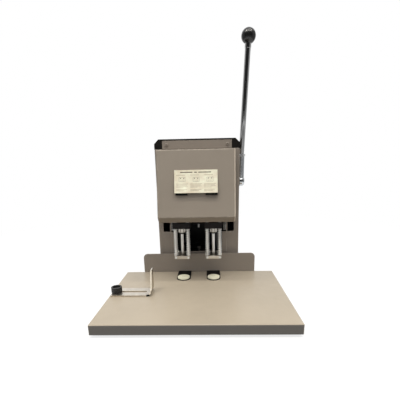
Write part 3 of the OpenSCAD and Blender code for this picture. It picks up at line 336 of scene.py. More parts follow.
screw_blank = turned("screw_blank", [
    (0, -SHANK_LENGTH), (0.8 * SHANK_RADIUS, -SHANK_LENGTH), (SHANK_RADIUS, 0.9 * -SHANK_LENGTH),
    (SHANK_RADIUS, 0), (0.97 * HEAD_RADIUS, 0), (HEAD_RADIUS, 0.08 * HEAD_HEIGHT),
    (HEAD_RADIUS, 0.3 * HEAD_HEIGHT), (0.93 * HEAD_RADIUS, 0.66 * HEAD_HEIGHT),
    (0.76 * HEAD_RADIUS, 0.88 * HEAD_HEIGHT), (0.45 * HEAD_RADIUS, 0.98 * HEAD_HEIGHT),
    (0, HEAD_HEIGHT)], SCREW_STEPS)
bm = bmesh.new()
for length, width in ((RECESS_LENGTH, RECESS_WIDTH), (RECESS_WIDTH, RECESS_LENGTH)):
    for vert in bmesh.ops.create_cube(bm, size=1)["verts"]:
        narrow = RECESS_TAPER if vert.co.z < 0 else 1.0
        vert.co = (vert.co.x * length * narrow, vert.co.y * width * narrow,
                   HEAD_HEIGHT - RECESS_DEPTH + (vert.co.z + 0.5) * 2 * RECESS_DEPTH)
screw_pattern = put("screw_pattern", screw_blank)
cross_cutter = put("cross_cutter", to_mesh(bm, "cross_recess"))
cut = screw_pattern.modifiers.new("cut", "BOOLEAN")
cut.object, cut.operation, cut.solver, cut.use_self = cross_cutter, "DIFFERENCE", "EXACT", True
graph = bpy.context.evaluated_depsgraph_get()
screw_mesh = bpy.data.meshes.new_from_object(screw_pattern.evaluated_get(graph), depsgraph=graph)
screw_mesh.set_sharp_from_angle(angle=math.radians(SCREW_SHARP))
for used in (screw_pattern, cross_cutter):
    bpy.data.objects.remove(used)
screw_form = bpy.data.objects.new("screw_form", screw_mesh)

screw_set, given, out = start_tree("screw_set", {"Form": "Object", "Seed": "Int", "Finish": "Material"})
form = add_node(screw_set, "GeometryNodeObjectInfo", {"Object": given["Form"]})["Geometry"]
facing = add_node(
    screw_set, "GeometryNodeInputNamedAttribute", values={"Name": "facing"}, data_type="FLOAT_VECTOR")[0]
turned_out = add_node(screw_set, "FunctionNodeAlignRotationToVector", {"Vector": facing}, axis="Z")[0]
drive_turn = add_node(
    screw_set, "FunctionNodeRandomValue", {"Seed": given["Seed"]}, {3: 2 * math.pi}, data_type="FLOAT")[1]
spin = add_node(screw_set, "ShaderNodeCombineXYZ", {"Z": drive_turn})[0]
spin = add_node(screw_set, "FunctionNodeEulerToRotation", {0: spin})[0]
driven = add_node(
    screw_set, "FunctionNodeRotateRotation", {"Rotation": turned_out, "Rotate By": spin},
    rotation_space="LOCAL")[0]
close_tree(screw_set, given, out, add_node(
    screw_set, "GeometryNodeInstanceOnPoints",
    {"Points": given["Geometry"], "Instance": form, "Rotation": driven})[0])

zinc = metal_finish("screw_steel", (0.6, 0.59, 0.56), 0.26, (700.0, 700.0, 700.0))


def drive(name, form, finish, places, seed, body="base", stands_for=()):
    """Fasteners of one form at places in millimetres, each with the way its head faces."""
    seed_mesh = bpy.data.meshes.new(name)
    seed_mesh.from_pydata([[MM * c for c in place] for place, _ in places], [], [])
    facing = seed_mesh.attributes.new("facing", "FLOAT_VECTOR", "POINT")
    facing.data.foreach_set("vector", [c for _, way in places for c in way])
    mesh = grow(screw_set, seed_mesh, {"Form": form, "Seed": seed, "Finish": finish})
    return add_piece(name, mesh, body, stands_for)


FOOT_PLACES = ((-155, -194), (155, -194), (-72.5, 191), (72.5, 191))
FOOT_SCREW_Z = 3.0
drive("foot_pan_screws", screw_form, zinc, [
    ((x, y, FOOT_SCREW_Z), (0, 0, -1)) for x, y in FOOT_PLACES], seed=3, stands_for=["foot_screws"])

oiled_plate = metal_finish("dark_steel", (0.1, 0.098, 0.094), 0.42, (60.0, 900.0, 900.0), tarnish=0.7)
foot_rubber = moulded_finish("rubber", (0.02, 0.02, 0.02), 0.7, 1100.0)
dress(oiled_plate, "base_plate")
dress(foot_rubber, "rubber_feet")

# Table pan: one sheet of steel folded down at its front and sides, then powder coated a warm semi-gloss grey.
# The back gauge's screws hold its rear edge. Its lip's front face is painted darker as shade, as the photo
# shows it.

PAINT_LIGHT, PAINT_DARK, PAINT_DUSTED, PAINT_WORN_AND_LIT, PAINT_DULLED = 1.03, 0.95, 1.35, 1.7, 0.1
PAINT_DUST = (0.03, 0.16)


def paint_finish(name, colour, roughness, depth=0.00005, edge=0.0009, wear_and_highlight=(0.15, 0.5), gloss=0.42):
    """Powder coat over sheet steel: soft peel, slight patches, dust on top, edge wear that set high is
    painted highlight.
    """
    material, tree, shader = start_finish(name)
    shader.inputs["Specular IOR Level"].default_value = gloss
    marks = with_effect(tree, hand_marks, Scale=9.0)
    small_marks = with_effect(tree, hand_marks, Scale=70.0)
    dust = with_effect(tree, settled_dust, Scale=130.0)
    worn = with_effect(tree, edge_wear, Width=edge, Patches=70.0)
    toned = blend_colour(tree, marks, shade(colour, PAINT_LIGHT), shade(colour, PAINT_DARK))
    dusty = times(tree, dust, remap(tree, small_marks, 0.0, 1.0, *PAINT_DUST))
    dusted = blend_colour(tree, dusty, toned, shade(colour, PAINT_DUSTED))
    # Pale edges: wear, and also a painted highlight where the share is set high.
    bare_and_lit = times(tree, worn, remap(tree, small_marks, 0.0, 1.0, *wear_and_highlight))
    tree.links.new(blend_colour(tree, bare_and_lit, dusted, shade(colour, PAINT_WORN_AND_LIT)), shader.inputs["Base Color"])
    dulled = remap(tree, small_marks, 0.0, 1.0, roughness, roughness + PAINT_DULLED)
    tree.links.new(dulled, shader.inputs["Roughness"])
    set_relief(tree, shader, with_effect(tree, surface_peel, Scale=520.0), depth, edge)
    return material


def inside_of(material, low, high):
    """One on a finish inside a box between two corners in millimetres, and nought outside it."""
    tree = material.node_tree
    off = add_node(tree, "ShaderNodeVectorMath", {0: object_place(tree)},
                   {1: [MM * (a + b) / 2 for a, b in zip(low, high)]}, operation="SUBTRACT")[0]
    off = add_node(tree, "ShaderNodeVectorMath", {0: off}, operation="ABSOLUTE")[0]
    share = add_node(tree, "ShaderNodeVectorMath", {0: off},
                     {1: [MM * (b - a) / 2 for a, b in zip(low, high)]}, operation="DIVIDE")[0]
    side = add_node(tree, "ShaderNodeSeparateXYZ", {0: share})
    most = add_node(tree, "ShaderNodeMath", {0: side["X"], 1: side["Y"]}, operation="MAXIMUM")[0]
    most = add_node(tree, "ShaderNodeMath", {0: most, 1: side["Z"]}, operation="MAXIMUM")[0]
    return add_node(tree, "ShaderNodeMath", {0: most}, {1: 1.0}, operation="LESS_THAN")[0]


def recolour(material, share, colour):
    """Mixes a colour by a share over the colours that a finish has."""
    tree = material.node_tree
    target = tree.nodes["Principled BSDF"].inputs["Base Color"]
    tree.links.new(blend_colour(tree, share, target.links[0].from_socket, colour), target)


# Painted shade: the lip's front face takes a darker grey than the table top.
TABLE_GREY, LIP_SHADE_GREY = (0.45, 0.388, 0.302), (0.155, 0.144, 0.13)
LIP_SHADE_LOW, LIP_SHADE_HIGH = (-190.0, -230.0, 0.0), (190.0, -219.4, 23.6)
table_paint = paint_finish("table_paint", TABLE_GREY, 0.3, depth=0.000006, gloss=0.3)
recolour(table_paint, inside_of(table_paint, LIP_SHADE_LOW, LIP_SHADE_HIGH), LIP_SHADE_GREY)
dress(table_paint, "table_pan")

# Anvils and drill discs: two black oxide steel bars on the table over a steel block, each with a turned seat.
# A pale plastic disc lies loose in each seat and takes the drill's edge, so its top carries faint ring cuts.

black_oxide = moulded_finish("anvil_black", (0.008, 0.008, 0.008), 0.65, 1500.0, depth=0.00001, gloss=0.1)
dress(black_oxide, "anvil_left", "anvil_right")
dress(oiled_plate, "anvil_block")

DISC_CREAM, DISC_LIGHT, DISC_DARK, DISC_CUT = (0.98, 0.945, 0.73), 1.03, 0.93, 0.62
DISC_ROUGH, DISC_EDGE = (0.4, 0.52), 0.6 * MM
RING_RADIUS, RING_OUTER, RING_CORE, RING_DEPTH = 2.9 * MM, 0.5 * MM, 0.1 * MM, 0.2 * MM
RING_SHARE = (0.35, 0.9)
DRILL_X, DRILL_Y = 35.0, -6.0
SIDES = ((-1, "left"), (1, "right"))


def disc_finish(name, centre_x):
    """Cream plastic with faint rings where the drill has cut, round a centre."""
    material, tree, shader = start_finish(name)
    marks = with_effect(tree, hand_marks, Scale=120.0)
    flat = add_node(
        tree, "ShaderNodeVectorMath", {0: object_place(tree)}, {1: (1, 1, 0)}, operation="MULTIPLY")[0]
    radius = add_node(
        tree, "ShaderNodeVectorMath", {0: flat}, {1: (centre_x * MM, DRILL_Y * MM, 0)},
        operation="DISTANCE")["Value"]
    off_ring = add_node(tree, "ShaderNodeMath", {0: radius}, {1: RING_RADIUS}, operation="SUBTRACT")[0]
    off_ring = add_node(tree, "ShaderNodeMath", {0: off_ring}, operation="ABSOLUTE")[0]
    cut = times(tree, remap(tree, off_ring, RING_OUTER, RING_CORE), remap(tree, marks, 0.0, 1.0, *RING_SHARE))
    toned = blend_colour(tree, marks, shade(DISC_CREAM, DISC_LIGHT), shade(DISC_CREAM, DISC_DARK))
    tree.links.new(blend_colour(tree, cut, toned, shade(DISC_CREAM, DISC_CUT)), shader.inputs["Base Color"])
    tree.links.new(remap(tree, marks, 0.0, 1.0, *DISC_ROUGH), shader.inputs["Roughness"])
    set_relief(tree, shader, cut, -RING_DEPTH, DISC_EDGE)
    return material


for side, name in SIDES:
    dress(disc_finish(f"disc_cream_{name}", side * DRILL_X), f"drill_disc_{name}")

# Back gauge: a steel plate with round upper corners, painted like the case. Screws hold it to the table's
# rear fold, and the paper's edge is knocked up against its front face.

# Painted shade: the gauge, column and fascia share a darker copy of the cover's grey, standing in for their
# shade.
BODY_SHADE_GREY = (0.273, 0.236, 0.2)
gauge_paint = paint_finish("gauge_paint", BODY_SHADE_GREY, 0.42, edge=0.0022)
dress(gauge_paint, "back_gauge")

# Side gauge: a zinc plated steel strip, slotted to slide along the table, with one end bent up as a leg.
# The leg's front-facing faces carry a painted highlight in pale cream, and a painted shadow darkens the
# strip's front corner at the leg's foot. A fluted black plastic knob on a turned stud clamps the strip.

# Painted highlight: the leg's front-facing faces take a pale cream and lose most of their metal.
LEG_LOW, LEG_HIGH = (-102.0, -115.0, 29.0), (-90.0, -60.0, 80.0)
LEG_HIGHLIGHT_CREAM, LEG_HIGHLIGHT_METAL = (0.95, 0.88, 0.75), 0.05
# Painted shadow: near black at the strip's front corner under the bend of the leg.
FOOT_SHADOW_LOW, FOOT_SHADOW_HIGH, FOOT_SHADOW_BLACK = (-103.5, -110.0, 24.0), (-95.0, -103.5, 29.0), (0.012, 0.011, 0.01)
FRONT_WAY = (-0.4, -0.7)


def front_inside(material, low, high):
    """One on the faces inside a box that look to the front, and nought on the others."""
    tree = material.node_tree
    return times(tree, remap(tree, surface_way(tree)["Y"], *FRONT_WAY), inside_of(material, low, high))


bright_strip = metal_finish("bright_strip", (0.77, 0.71, 0.62), 0.32, (50.0, 1100.0, 1100.0))
tree, shader = bright_strip.node_tree, bright_strip.node_tree.nodes["Principled BSDF"]
# Painted highlight and painted shadow on the side gauge's strip.
leg_highlight = front_inside(bright_strip, LEG_LOW, LEG_HIGH)
recolour(bright_strip, leg_highlight, LEG_HIGHLIGHT_CREAM)
recolour(bright_strip, inside_of(bright_strip, FOOT_SHADOW_LOW, FOOT_SHADOW_HIGH), FOOT_SHADOW_BLACK)
tree.links.new(remap(tree, leg_highlight, 0.0, 1.0, 1.0, LEG_HIGHLIGHT_METAL), shader.inputs["Metallic"])
black_plastic = moulded_finish("black_plastic", (0.018, 0.018, 0.018), 0.4, 1400.0, depth=0.00003)
turned_steel = metal_finish("turned_steel", (0.6, 0.58, 0.54), 0.28, (120.0, 120.0, 2400.0))
dress(bright_strip, "side_gauge")
dress(black_plastic, "gauge_knob")
dress(turned_steel, "gauge_stud")

# Inner frame: two steel side plates and two bridges bolted between them, with a pair of ground guide posts.
# The lever's shaft runs in bronze bushes in the side plates; a depth stop and a snap switch sit inside.

bronze = metal_finish("bronze", (0.5, 0.33, 0.15), 0.36, (300.0, 300.0, 300.0), tarnish=0.7)
dress(oiled_plate, "side_frame_left", "side_frame_right", "lower_bridge", "upper_bridge")
dress(oiled_plate, "guide_posts", "depth_stop")
dress(bronze, "shaft_bushes")
dress(black_plastic, "micro_switch")

# Carriage, rack, motor and drive: a black painted casting slides on the posts in bronze bushes.
# The motor hangs on its deck, and a steel rack on its back meets the lever's pinion.

cast_black = moulded_finish(
    "cast_black", (0.012, 0.0095, 0.009), 0.55, 420.0, depth=0.00025, edge=0.0008, gloss=0.25)
motor_paint = paint_finish("motor_grey", (0.06, 0.06, 0.065), 0.45)
gear_steel = metal_finish("gear_steel", (0.3, 0.295, 0.285), 0.34, (500.0, 500.0, 1500.0), tarnish=0.7)
dress(cast_black, "carriage")
dress(bronze, "carriage_bushes", "motor_pinion")
dress(turned_steel, "rack", "spindle_bearings", "motor_shaft")
dress(gear_steel, "stop_pin")
dress(motor_paint, "motor")
dress(zinc, "motor_screws")

# Spindles, chucks and drills: each turned spindle carries a gear above and a steel chuck below its block.
# The chuck's neck is coloured near black. The hollow drill in it lets the paper plugs up through its bore.

# The chuck's neck, between these corners, is coloured near black.
NECK_LOW, NECK_HIGH, NECK_BLACK = (-60.0, -30.0, 130.0), (60.0, 20.0, 135.7), (0.012, 0.011, 0.01)
ground_steel = metal_finish("ground_steel", (0.84, 0.82, 0.77), 0.27, (160.0, 160.0, 2600.0))
chuck_steel = metal_finish("chuck_steel", (0.5, 0.47, 0.415), 0.18, (900.0, 900.0, 60.0))
recolour(chuck_steel, inside_of(chuck_steel, NECK_LOW, NECK_HIGH), NECK_BLACK)
dress(turned_steel, "spindle_left", "spindle_right")
dress(ground_steel, "drill_bit_left", "drill_bit_right")
dress(chuck_steel, "chuck_left", "chuck_right")
dress(gear_steel, "spindle_gear_left", "spindle_gear_right")

# Pressers: each bright steel plate hangs on two headed rods that slide in the carriage's block.
# Two small nuts and two cheese-head clamp screws hold it to them. A wound spring round each rod pushes the
# plate down to hold the paper flat while the drill goes through.

milled_steel = metal_finish(
    "milled_steel", (0.68, 0.63, 0.55), 0.33, (80.0, 900.0, 900.0), tarnish=0.85, edge=0.0011,
    metallic=(1.0, 0.15))
dress(milled_steel, "presser_plate_left", "presser_plate_right")
dress(ground_steel, "presser_rods_left", "presser_rods_right")

NUT_RADIUS, NUT_HEIGHT, NUT_SUNK, STUD_RADIUS, STUD_HEIGHT = 3.6 * MM, 2.8 * MM, 0.4 * MM, 1.9 * MM, 4.2 * MM
NUT_SPREAD, NUT_Y, PRESSER_TOP = 9.5, 6.0, 85.0
NUT_STEPS, STUD_STEPS, NUT_SHARP = 6, 20, 30
bm = bmesh.new()
bm.from_mesh(turned("nut_body", [
    (0, -NUT_SUNK), (0.9 * NUT_RADIUS, -NUT_SUNK), (NUT_RADIUS, 0.15 * NUT_HEIGHT),
    (NUT_RADIUS, 0.85 * NUT_HEIGHT), (0.86 * NUT_RADIUS, NUT_HEIGHT), (0.62 * NUT_RADIUS, NUT_HEIGHT),
    (0, 0.9 * NUT_HEIGHT)], NUT_STEPS))
bm.from_mesh(turned("stud_end", [
    (0, 0), (STUD_RADIUS, 0), (STUD_RADIUS, 0.9 * STUD_HEIGHT), (0.75 * STUD_RADIUS, STUD_HEIGHT),
    (0, STUD_HEIGHT)], STUD_STEPS))
nut_form = bpy.data.objects.new("nut_form", to_mesh(bm, "presser_nut", sharp=NUT_SHARP))
for side, name in SIDES:
    drive(f"presser_nuts_{name}", nut_form, zinc, [
        ((side * DRILL_X + s * NUT_SPREAD, NUT_Y, PRESSER_TOP), (0, 0, 1)) for s in (-1, 1)],
        seed=11, body=f"{name}_presser")

CLAMP_RADIUS, CLAMP_HEIGHT, CLAMP_SHANK, CLAMP_Z = 2.3 * MM, 1.3 * MM, 2.5 * MM, 81.2
ROD_SPREAD, ROD_Y, PRESSER_FRONT = 13.8, -20.0, -25.0
clamp_form = bpy.data.objects.new("clamp_form", turned("clamp_screw", [
    (0, -CLAMP_SHANK), (0.6 * CLAMP_RADIUS, -CLAMP_SHANK), (0.6 * CLAMP_RADIUS, 0), (CLAMP_RADIUS, 0),
    (CLAMP_RADIUS, 0.75 * CLAMP_HEIGHT), (0.85 * CLAMP_RADIUS, CLAMP_HEIGHT),
    (0.45 * CLAMP_RADIUS, CLAMP_HEIGHT), (0.45 * CLAMP_RADIUS, 0.3 * CLAMP_HEIGHT),
    (0, 0.3 * CLAMP_HEIGHT)], SCREW_STEPS, SCREW_SHARP))
spring_wire = metal_finish(
    "spring_steel", (0.96, 0.95, 0.91), 0.34, (300.0, 300.0, 300.0), metallic=(0.12, 0.12))
for side, name in SIDES:
    drive(f"presser_clamps_{name}", clamp_form, spring_wire, [
        ((side * DRILL_X + s * ROD_SPREAD, PRESSER_FRONT, CLAMP_Z), (0, -1, 0)) for s in (-1, 1)],
        seed=13, body=f"{name}_presser")

wound_wire, given, out = start_tree("wound_wire", {
    "Wire Radius": "Float", "Sides": "Int", "Finish": "Material"})
path = add_node(wound_wire, "GeometryNodeMeshToCurve", {"Mesh": given["Geometry"]})[0]
round_bar = add_node(
    wound_wire, "GeometryNodeCurvePrimitiveCircle",
    {"Resolution": given["Sides"], "Radius": given["Wire Radius"]})[0]
swept = add_node(
    wound_wire, "GeometryNodeCurveToMesh", {"Curve": path, "Profile Curve": round_bar},
    {"Fill Caps": True})[0]
close_tree(wound_wire, given, out, add_node(wound_wire, "GeometryNodeSetShadeSmooth", {"Geometry": swept})[0])

WIRE_RADIUS, WIRE_SIDES, TURN_STEPS = 0.8, 10, 28


def coil(x, y, radius, low, high, turns, closed):
    """Points of a wound wire in millimetres, with a number of closed turns at each end."""
    rise_closed = closed * 2 * WIRE_RADIUS
    points = []
    for i in range(turns * TURN_STEPS + 1):
        turn = i / TURN_STEPS
        if turn < closed:
            height = low + turn * 2 * WIRE_RADIUS
        elif turn > turns - closed:
            height = high - (turns - turn) * 2 * WIRE_RADIUS
        else:
            share = (turn - closed) / (turns - 2 * closed)
            height = low + rise_closed + share * (high - low - 2 * rise_closed)
        angle = 2 * math.pi * turn
        points.append((x + radius * math.cos(angle), y + radius * math.sin(angle), height))
    return points


def wire_mesh(name, paths):
    """Round wire swept along paths given in millimetres."""
    seed_mesh = bpy.data.meshes.new(name)
    points = [[MM * c for c in point] for path in paths for point in path]
    edges = []
    first = 0
    for path in paths:
        edges += [(first + i, first + i + 1) for i in range(len(path) - 1)]
        first += len(path)
    seed_mesh.from_pydata(points, edges, [])
    return grow(wound_wire, seed_mesh, {
        "Wire Radius": WIRE_RADIUS * MM, "Sides": WIRE_SIDES, "Finish": spring_wire})


COIL_RADIUS, COIL_TURNS, COIL_CLOSED = 4.0, 13, 1
SPRING_LOW, SPRING_HIGH, SPRING_SOLID, BLOCK_FOOT = 85.2, 146.8, 15.5, 147.0
for side, name in SIDES:
    coils = [coil(side * DRILL_X + s * ROD_SPREAD, ROD_Y, COIL_RADIUS, SPRING_LOW + WIRE_RADIUS,
                  SPRING_HIGH - WIRE_RADIUS, COIL_TURNS, COIL_CLOSED) for s in (-1, 1)]
    springs = add_piece(f"presser_coils_{name}", wire_mesh(f"presser_coils_{name}", coils), "carriage",
                        [f"presser_springs_{name}"])
    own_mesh(springs)

# Return springs: two bright wires hang from the upper bridge beside the opening and end in close coils.
# Their lower eyes hook on the carriage's lugs in the machine; here the coils are drawn at one length and stay
# fixed.

RETURN_X, RETURN_Y, RETURN_RADIUS, RETURN_TURNS, RETURN_CLOSED = 64.8, 70.0, 3.35, 20, 0.5
RETURN_LOW, RETURN_COIL, RETURN_TOP = 123.2, 54.0, 304.3
LEAD_GAP, LEAD_RISE, LEAD_STEPS, STRAIGHT_GAP = 1.2, 5.0, 6, 10.0
coil_top = RETURN_LOW + RETURN_COIL
for side, name in SIDES:
    x = side * RETURN_X
    wound = coil(x, RETURN_Y, RETURN_RADIUS, RETURN_LOW + WIRE_RADIUS, coil_top, RETURN_TURNS, RETURN_CLOSED)
    lead = [(x + RETURN_RADIUS * (1 - t) ** 2, RETURN_Y, coil_top + LEAD_GAP + LEAD_RISE * t)
            for t in (i / LEAD_STEPS for i in range(1, LEAD_STEPS + 1))]
    straight = [(x, RETURN_Y, coil_top + STRAIGHT_GAP), (x, RETURN_Y, RETURN_TOP)]
    piece = put(f"return_coil_{name}", wire_mesh(f"return_coil_{name}", [wound + lead + straight]))
    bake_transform(piece)
    if side < 0:
        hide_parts("return_springs")

# Column: a sheet steel shell round the frame, with a tall opening for the carriage and two small windows.
# Two painted cheek plates narrow the opening's foot. A black plastic drawer for the chips and a cover with
# pressed louvres and the mains inlet close its rear.

# Painted shade: the column's inside faces are coloured near black for the shade inside the shell.
INNER_LOW, INNER_HIGH, INNER_SHADE_BLACK = (-96.6, 61.9, 9.0), (96.6, 215.2, 316.8), (0.012, 0.012, 0.012)
# Painted shade and painted highlight: the column takes the darker body grey, and its edges are turned fully
# pale.
column_paint = paint_finish("column_paint", BODY_SHADE_GREY, 0.42, edge=0.0032, wear_and_highlight=(0.8, 1.0))
recolour(column_paint, inside_of(column_paint, INNER_LOW, INNER_HIGH), INNER_SHADE_BLACK)
dress(column_paint, "column_shell", "rear_cover")
dress(black_plastic, "chip_drawer", "power_inlet")

CHEEK_IN, CHEEK_OUT, CHEEK_LOW, CHEEK_HIGH, CHEEK_ROUND, CHEEK_STEPS = 57.5, 69.5, 69.0, 122.0, 2.5, 6
CHEEK_FRONT, CHEEK_DEEP, CHEEK_EDGE, CHEEK_FOLD = 59.8, 2.1, 0.25, 1.0
bm = bmesh.new()
corner = [(CHEEK_IN + CHEEK_ROUND * (1 - math.sin(a)), CHEEK_HIGH - CHEEK_ROUND * (1 - math.cos(a)))
          for a in (math.pi / 2 * (1 - i / CHEEK_STEPS) for i in range(CHEEK_STEPS + 1))]
outline = [(CHEEK_IN, CHEEK_LOW), *corner, (CHEEK_OUT, CHEEK_HIGH), (CHEEK_OUT, CHEEK_LOW)]
for side, _ in SIDES:
    face = bm.faces.new([bm.verts.new((MM * side * x, MM * CHEEK_FRONT, MM * z)) for x, z in outline])
    pushed = bmesh.ops.extrude_face_region(bm, geom=[face])["geom"]
    bmesh.ops.translate(
        bm, vec=(0, MM * CHEEK_DEEP, 0), verts=[g for g in pushed if isinstance(g, bmesh.types.BMVert)])
bmesh.ops.bevel(bm, geom=[e for e in bm.edges if e.is_manifold and e.calc_face_angle() > CHEEK_FOLD],
                offset=MM * CHEEK_EDGE, segments=2, affect="EDGES", profile=0.5)
bmesh.ops.recalc_face_normals(bm, faces=bm.faces)
add_piece("opening_cheeks", to_mesh(bm, "opening_cheeks", column_paint), "base")

HOOD_HALF, HOOD_TALL, HOOD_OUT, HOOD_SUNK, HOOD_SHEET = 46.0, 9.0, 2.9, 0.4, 0.7
HOOD_STEPS, HOOD_ROWS, HOOD_SQUARE, HOOD_SHARP = 14, 7, 8, 40
bm = bmesh.new()
columns = []
for across in (i / HOOD_STEPS - 1 for i in range(2 * HOOD_STEPS + 1)):
    swell = (HOOD_OUT + HOOD_SUNK) * (1 - abs(across) ** HOOD_SQUARE)
    columns.append([bm.verts.new((
        MM * HOOD_HALF * across, MM * (swell * math.sin(down * math.pi / 2) - HOOD_SUNK),
        MM * HOOD_TALL * (0.5 - down))) for down in (j / HOOD_ROWS for j in range(HOOD_ROWS + 1))])
for a, b in zip(columns, columns[1:]):
    for j in range(len(a) - 1):
        bm.faces.new((a[j], a[j + 1], b[j + 1], b[j])).smooth = True
bmesh.ops.recalc_face_normals(bm, faces=bm.faces)
bmesh.ops.solidify(bm, geom=bm.faces[:], thickness=HOOD_SHEET * MM)
hood_form = bpy.data.objects.new("hood_form", to_mesh(bm, "louvre_hood", sharp=HOOD_SHARP))

LOUVRE_COUNT, LOUVRE_FIRST, LOUVRE_RISE = 6, (0, 0.217, 0.2115), (0, 0, 0.013)
louvre_row, given, out = start_tree("louvre_row", {
    "Form": "Object", "Count": "Int", "First": "Vector", "Rise": "Vector", "Finish": "Material"})
form = add_node(louvre_row, "GeometryNodeObjectInfo", {"Object": given["Form"]})["Geometry"]
places = add_node(louvre_row, "GeometryNodeMeshLine", {
    "Count": given["Count"], "Start Location": given["First"], "Offset": given["Rise"]}, mode="OFFSET")[0]
close_tree(louvre_row, given, out, add_node(
    louvre_row, "GeometryNodeInstanceOnPoints", {"Points": places, "Instance": form})[0])
hoods = grow(louvre_row, bpy.data.meshes.new("louvre_hoods"), {
    "Form": hood_form, "Count": LOUVRE_COUNT, "First": LOUVRE_FIRST, "Rise": LOUVRE_RISE,
    "Finish": column_paint})
add_piece("louvre_hoods", hoods, "base")

# Front cover: a leaning box of folded sheet over the motor and gears, screwed to the column's tabs.
# Its lower edge is folded back under the face; its right front edge has a painted highlight beside the lever.

COVER_GREY = (0.332, 0.285, 0.234)
# Painted highlight: a pale grey on the front faces along the cover's right edge.
EDGE_HIGHLIGHT_LOW, EDGE_HIGHLIGHT_HIGH, EDGE_HIGHLIGHT_GREY = (78.6, -80.0, 150.0), (81.0, 70.0, 320.0), shade(COVER_GREY, 2.3)
# Painted highlight: the cover's edges are turned fully pale.
cover_paint = paint_finish("cover_paint", COVER_GREY, 0.42, edge=0.0045, wear_and_highlight=(0.85, 1.0))
recolour(cover_paint, front_inside(cover_paint, EDGE_HIGHLIGHT_LOW, EDGE_HIGHLIGHT_HIGH), EDGE_HIGHLIGHT_GREY)
dress(cover_paint, "front_cover")

# Instruction plate: a thin cream plastic card on the cover's leaning face, with plain ruled panels.
# Its two lower corners stand off the face on black rubber spacers.

FACE_CENTRE = Vector((0, -41.62, 247.1))
FACE_UP, FACE_OUT = Vector((0, 0.1779, 0.98405)), Vector((0, -0.98405, 0.1779))
PLATE_HALF, PLATE_TOP, PLATE_LOW, PLATE_THICK = 44.0, 24.2, -22.6, 0.8
PLATE_GAP, PLATE_LIFT, PLATE_BOW, PLATE_SHARP = 0.15, 5.4, 1.25, 30
STRIP_TALL, DOT_SIDES = 2.5, 20


def on_plate(across, up, out):
    """A place off the plate's back in millimetres; the plate bows away from the cover towards its foot."""
    foot = (PLATE_TOP - up) / (PLATE_TOP - PLATE_LOW)
    away = PLATE_GAP + PLATE_LIFT * max(foot, 0) ** PLATE_BOW + out
    return MM * (FACE_CENTRE + Vector((across, 0, 0)) + up * FACE_UP + away * FACE_OUT)


def lay_bar(bm, left, right, low, high, out):
    """A rectangle on the plate, in strips short enough to follow its bow."""
    strips = max(1, math.ceil((high - low) / STRIP_TALL))
    heights = [low + (high - low) * i / strips for i in range(strips + 1)]
    rows = [[bm.verts.new(on_plate(x, up, out)) for x in (left, right)] for up in heights]
    for a, b in zip(rows, rows[1:]):
        bm.faces.new((a[0], a[1], b[1], b[0])).smooth = True


def lay_dot(bm, across, up, radius, out):
    """A round dot on the plate."""
    bm.faces.new([bm.verts.new(on_plate(across + radius * math.cos(a), up + radius * math.sin(a), out))
                  for a in (2 * math.pi * i / DOT_SIDES for i in range(DOT_SIDES))])


def lay_frame(bm, left, right, low, high, line, out):
    """A thin outline on the plate."""
    lay_bar(bm, left, right, high - line, high, out)
    lay_bar(bm, left, right, low, low + line, out)
    lay_bar(bm, left, left + line, low + line, high - line, out)
    lay_bar(bm, right - line, right, low + line, high - line, out)


bm = bmesh.new()
lay_bar(bm, -PLATE_HALF, PLATE_HALF, PLATE_LOW, PLATE_TOP, PLATE_THICK)
bm.normal_update()
bmesh.ops.solidify(bm, geom=bm.faces[:], thickness=PLATE_THICK * MM)
bmesh.ops.recalc_face_normals(bm, faces=bm.faces)
plate_cream = moulded_finish("plate_cream", (0.97, 0.87, 0.67), 0.36, 900.0, depth=0.00001)
plate_mesh = to_mesh(bm, "bowed_plate", plate_cream, PLATE_SHARP)
add_piece("bowed_plate", plate_mesh, "base", ["instruction_plate"])

INK_OUT = PLATE_THICK + 0.05
TOP_BARS, TOP_LOW, TOP_HIGH = ((-32, -7), (-3.5, 2), (5, 31)), 18.6, 20.4
PANEL_X, PANEL_HALF, HEADING_LOW, HEADING_HIGH = (-28.0, 0.5, 28.5), 12.0, 13.4, 14.6
SHEET_HALF, SHEET_LOW, SHEET_HIGH, SHEET_LINE = 6.5, 0.5, 9.5, 0.35
HOLE_OFF, HOLE_UP, HOLE_RADIUS = 3.2, 7.2, 1.0
RULE_HALF, RULE_LOW, RULE_LINE, RULE_PITCH, RULE_COUNT = 4.5, 1.6, 0.3, 1.2, 3
LINE_LOW, LINE_TALL, LINE_PITCH, LINE_LENGTHS = -4.4, 1.0, 2.3, (1.0, 0.9, 0.97, 0.6, 0.0, 0.94, 0.72)

bm = bmesh.new()
for left, right in TOP_BARS:
    lay_bar(bm, left, right, TOP_LOW, TOP_HIGH, INK_OUT)
for x in PANEL_X:
    lay_frame(bm, x - SHEET_HALF, x + SHEET_HALF, SHEET_LOW, SHEET_HIGH, SHEET_LINE, INK_OUT)
    for hole in (-HOLE_OFF, HOLE_OFF):
        lay_dot(bm, x + hole, HOLE_UP, HOLE_RADIUS, INK_OUT)
ink_dark = moulded_finish("print_dark", (0.16, 0.125, 0.085), 0.5, 2600.0, depth=0.000004)
dark_print = to_mesh(bm, "plate_print_dark", ink_dark)
bm = bmesh.new()
for x in PANEL_X:
    left = x - PANEL_HALF
    lay_bar(bm, left, x + 0.5 * PANEL_HALF, HEADING_LOW, HEADING_HIGH, INK_OUT)
    for i in range(RULE_COUNT):
        low = RULE_LOW + RULE_PITCH * i
        lay_bar(bm, x - RULE_HALF, x + RULE_HALF, low, low + RULE_LINE, INK_OUT)
    for i, length in enumerate(LINE_LENGTHS):
        low = LINE_LOW - LINE_PITCH * i
        if length:
            lay_bar(bm, left, left + 2 * length * PANEL_HALF, low, low + LINE_TALL, INK_OUT)
